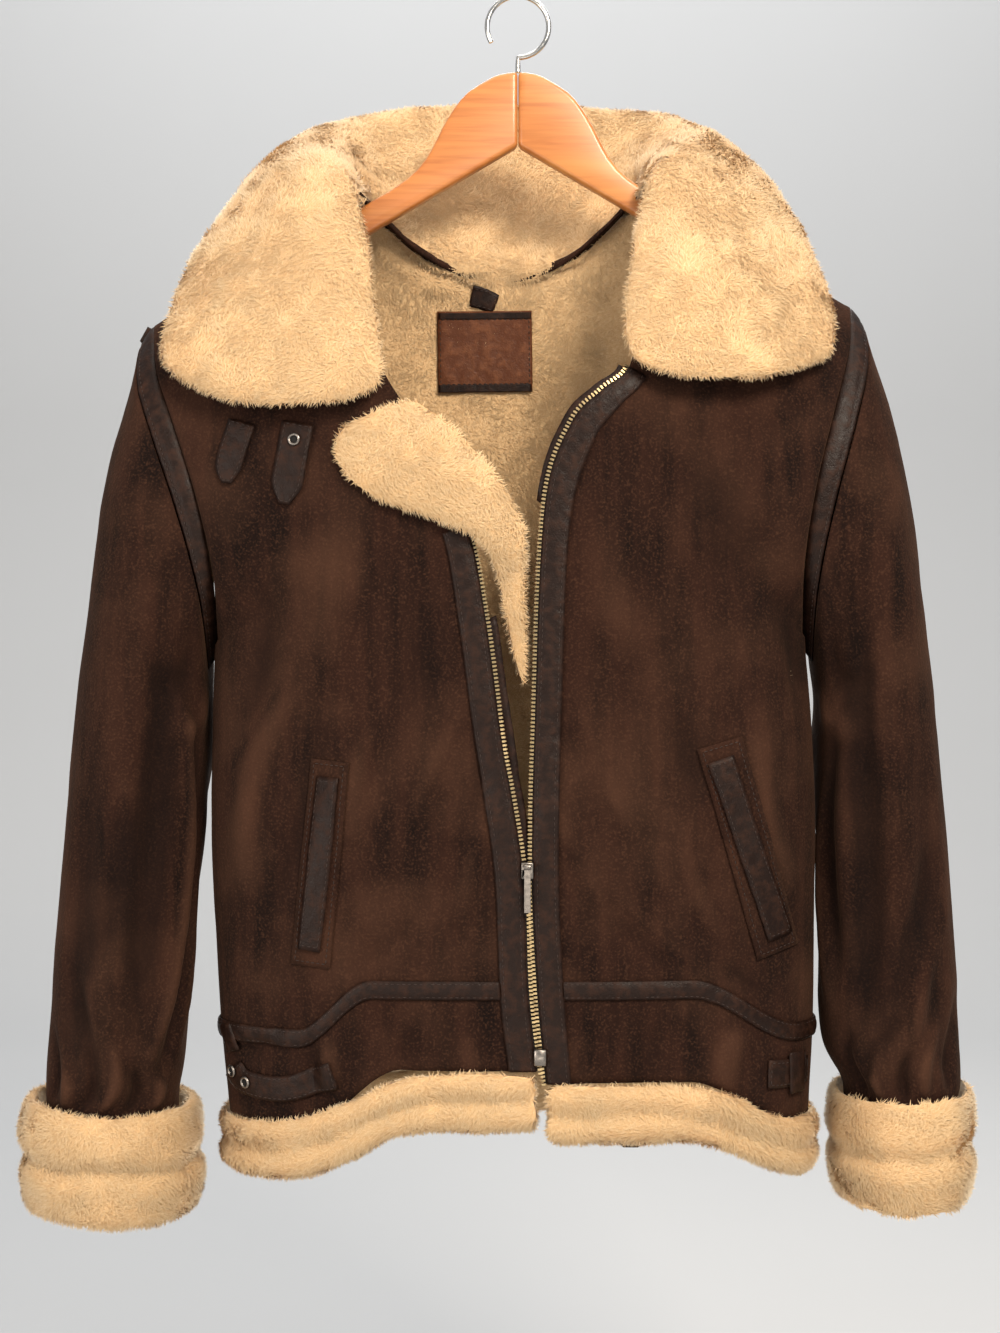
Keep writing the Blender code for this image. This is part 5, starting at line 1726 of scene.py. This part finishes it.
def build_hanger():
    """Two rounded maple arms that meet at a joint, and a bright wire hook above them."""
    for side in ("left", "right"):
        edge = settings().wood.edge / MM
        arm = bevelled_copy("hanger_" + side, "maple_arm_" + side, maple(side), edge, 5)
        settle(arm, "wood", "hanger_" + side)
    steel = metal("bright_wire", linear("#c4c4c2")[:3], 0.18, "#7d7d7d")
    centre = HOOK_WIRE - HOOK_BEND
    route = [(0.0, HOOK_FOOT), (0.0, (HOOK_FOOT + centre - HOOK_BEND) / 2)]
    route += [
        (HOOK_BEND * math.cos(math.radians(t)), centre + HOOK_BEND * math.sin(math.radians(t)))
        for t in HOOK_TURNS
    ]
    curve = bpy.data.curves.new("wire_hook", "CURVE")
    curve.dimensions = "3D"
    curve.bevel_depth = HOOK_WIRE * MM
    curve.bevel_resolution = 6
    curve.use_fill_caps = True
    spline = curve.splines.new("POLY")
    spline.points.add(len(route) - 1)
    for point, (x, z) in zip(spline.points, route):
        point.co = (x * MM, 0, z * MM, 1)
    curve.materials.append(steel)
    hook = bpy.data.objects.new("wire_hook", curve)
    bpy.context.scene.collection.objects.link(hook)
    settle(hook, "steel", "hanger_hook")


# ---- stage -------------------------------------------------------------------------------------

CAMERA = (-0.014, -1.4, -0.521)
FLOOR_Z, WALL_Y, SWEEP = -1.35, 4.2, 1.6  # the wall stands past the camera's place in a view from behind
LAMPS = (
    # name, place, target, width and height, watts, colour
    ("key", (0.9, -2.0, 0.9), (0, 0, -0.5), (0.8, 0.8), 76, "#fff1df"),
    ("fill", (-1.8, -1.7, -0.4), (0, 0, -0.6), (1.2, 1.6), 30, "#fff4e8"),
    ("top", (0.1, -0.3, 1.5), (0, 0, -0.5), (1.6, 1.2), 20, "#fff6ea"),
    ("low", (0.0, -1.9, -1.2), (0, 0, -0.5), (2.0, 0.5), 8, "#fff3e4"),
    ("back", (0.2, 1.5, 1.3), (0, 0, -0.4), (1.6, 1.0), 30, "#ffffff"),
    ("paper", (0.0, 2.3, 2.8), (0, 4.2, 0.4), (4.0, 1.6), 85, "#ffffff"),
)


def area_light(name, place, target, size, power, colour):
    """A soft lamp of this size that faces its target."""
    light = bpy.data.lights.new(name, "AREA")
    light.shape = "RECTANGLE"
    light.size, light.size_y = size
    light.energy = power
    light.color = linear(colour)[:3]
    lamp = bpy.data.objects.new(name, light)
    lamp.location = place
    lamp.rotation_euler = (Vector(target) - Vector(place)).to_track_quat("-Z", "Y").to_euler()
    bpy.context.scene.collection.objects.link(lamp)


def build_stage():
    """A pale floor that curves up into a wall, soft lights, and the camera in front."""
    profile = [(-6.0, FLOOR_Z)]
    for step in range(13):
        turn = math.radians(-90 + 90 * step / 12)
        profile.append((WALL_Y - SWEEP + SWEEP * math.cos(turn), FLOOR_Z + SWEEP + SWEEP * math.sin(turn)))
    profile.append((WALL_Y, 5.0))
    points = [(x, y, z) for y, z in profile for x in (-9.0, 9.0)]
    faces = [(2 * i, 2 * i + 1, 2 * i + 3, 2 * i + 2) for i in range(len(profile) - 1)]
    look = settings().stage
    paper = plain("pale_grey_paper", look.paper, 0.95, mottle=300, depth=0.01)
    mesh = bpy.data.meshes.new("paper_sweep")
    mesh.from_pydata(points, [], faces)
    mesh.shade_smooth()
    new_object("paper_sweep", mesh, paper)
    for name, place, target, size, power, tint in LAMPS:
        area_light(name, place, target, size, power * look.power, tint)
    world = bpy.data.worlds.new("soft_room")
    world.use_nodes = True
    background = world.node_tree.nodes["Background"]
    background.inputs["Color"].default_value = linear("#f4f2f0")
    background.inputs["Strength"].default_value = 0.6
    bpy.context.scene.world = world
    bpy.context.scene.view_settings.view_transform = "Standard"
    lens = bpy.data.cameras.new("camera")
    lens.lens = 48.46
    lens.sensor_width = 36.0
    camera = bpy.data.objects.new("camera", lens)
    camera.location = CAMERA
    camera.rotation_euler = (math.pi / 2, 0, 0)
    bpy.context.scene.collection.objects.link(camera)
    bpy.context.scene.camera = camera


# ---- operators ---------------------------------------------------------------------------------


class JACKET_OT_stage(bpy.types.Operator):
    """Set the paper sweep, the lamps and the camera"""

    bl_idname = "jacket.stage"
    bl_label = "Stage"

    def execute(self, context):
        build_stage()
        return {"FINISHED"}


class JACKET_OT_panels(bpy.types.Operator):
    """Sew the suede fronts, back and hem bands"""

    bl_idname = "jacket.panels"
    bl_label = "Fronts and back"

    def execute(self, context):
        build_panels()
        return {"FINISHED"}


class JACKET_OT_strips(bpy.types.Operator):
    """Sew the leather strips over the waist seam and beside the zip"""

    bl_idname = "jacket.strips"
    bl_label = "Leather strips"

    def execute(self, context):
        build_strips()
        return {"FINISHED"}


class JACKET_OT_sleeves(bpy.types.Operator):
    """Sew the sleeves, their armhole bands and the shoulder's loop end"""

    bl_idname = "jacket.sleeves"
    bl_label = "Sleeves"

    def execute(self, context):
        build_sleeves()
        return {"FINISHED"}


class JACKET_OT_pile(bpy.types.Operator):
    """Make the collar with its suede underside, the lapel, lining, cuffs and hem with their pile"""

    bl_idname = "jacket.pile"
    bl_label = "Collar and pile"

    def execute(self, context):
        build_under_collar()
        build_collar_stand()
        build_pile()
        return {"FINISHED"}


class JACKET_OT_zip(bpy.types.Operator):
    """Set both halves of the zip, its slider, pull and box, and the strips behind it"""

    bl_idname = "jacket.zip"
    bl_label = "Zip"

    def execute(self, context):
        build_zip()
        build_slider()
        build_inner_strips()
        return {"FINISHED"}


class JACKET_OT_pockets(bpy.types.Operator):
    """Sew the pocket frames and welts"""

    bl_idname = "jacket.pockets"
    bl_label = "Pockets"

    def execute(self, context):
        build_pockets()
        return {"FINISHED"}


class JACKET_OT_straps(bpy.types.Operator):
    """Sew the throat straps, side tabs and keepers, and set their eyelets"""

    bl_idname = "jacket.straps"
    bl_label = "Straps and eyelets"

    def execute(self, context):
        build_straps()
        build_eyelets()
        return {"FINISHED"}


class JACKET_OT_neck(bpy.types.Operator):
    """Sew the bare tan patch, the hanging loop and the tab end at the back hem"""

    bl_idname = "jacket.neck"
    bl_label = "Neck patch and tabs"

    def execute(self, context):
        build_neck_pieces()
        build_back_tab()
        return {"FINISHED"}


class JACKET_OT_hanger(bpy.types.Operator):
    """Make the maple arms and the wire hook"""

    bl_idname = "jacket.hanger"
    bl_label = "Hanger"

    def execute(self, context):
        build_hanger()
        return {"FINISHED"}


OPERATORS = (
    JACKET_OT_stage,
    JACKET_OT_panels,
    JACKET_OT_strips,
    JACKET_OT_sleeves,
    JACKET_OT_pile,
    JACKET_OT_zip,
    JACKET_OT_pockets,
    JACKET_OT_straps,
    JACKET_OT_neck,
    JACKET_OT_hanger,
)


class JACKET_PT_sidebar(bpy.types.Panel):
    """The jacket's settings and steps"""

    bl_label = "Jacket"
    bl_idname = "JACKET_PT_sidebar"
    bl_space_type = "VIEW_3D"
    bl_region_type = "UI"
    bl_category = "Jacket"

    def draw(self, context):
        layout = self.layout
        for name in JacketSettings.__annotations__:
            box = layout.box()
            box.label(text=name.capitalize())
            group = getattr(context.scene.jacket, name)
            for setting in type(group).__annotations__:
                box.prop(group, setting)
        for operator in OPERATORS:
            layout.operator(operator.bl_idname)


CLASSES = (*LOOKS, JacketSettings, *OPERATORS, JACKET_PT_sidebar)


def register():
    for each in CLASSES:
        bpy.utils.register_class(each)
    bpy.types.Scene.jacket = bpy.props.PointerProperty(type=JacketSettings)


def unregister():
    del bpy.types.Scene.jacket
    for each in reversed(CLASSES):
        bpy.utils.unregister_class(each)


def main():
    register()
    bpy.ops.jacket.stage()
    bpy.ops.jacket.panels()
    bpy.ops.jacket.strips()
    bpy.ops.jacket.sleeves()
    bpy.ops.jacket.pile()
    bpy.ops.jacket.zip()
    bpy.ops.jacket.pockets()
    bpy.ops.jacket.straps()
    bpy.ops.jacket.neck()
    bpy.ops.jacket.hanger()


if __name__ == "__main__":
    main()
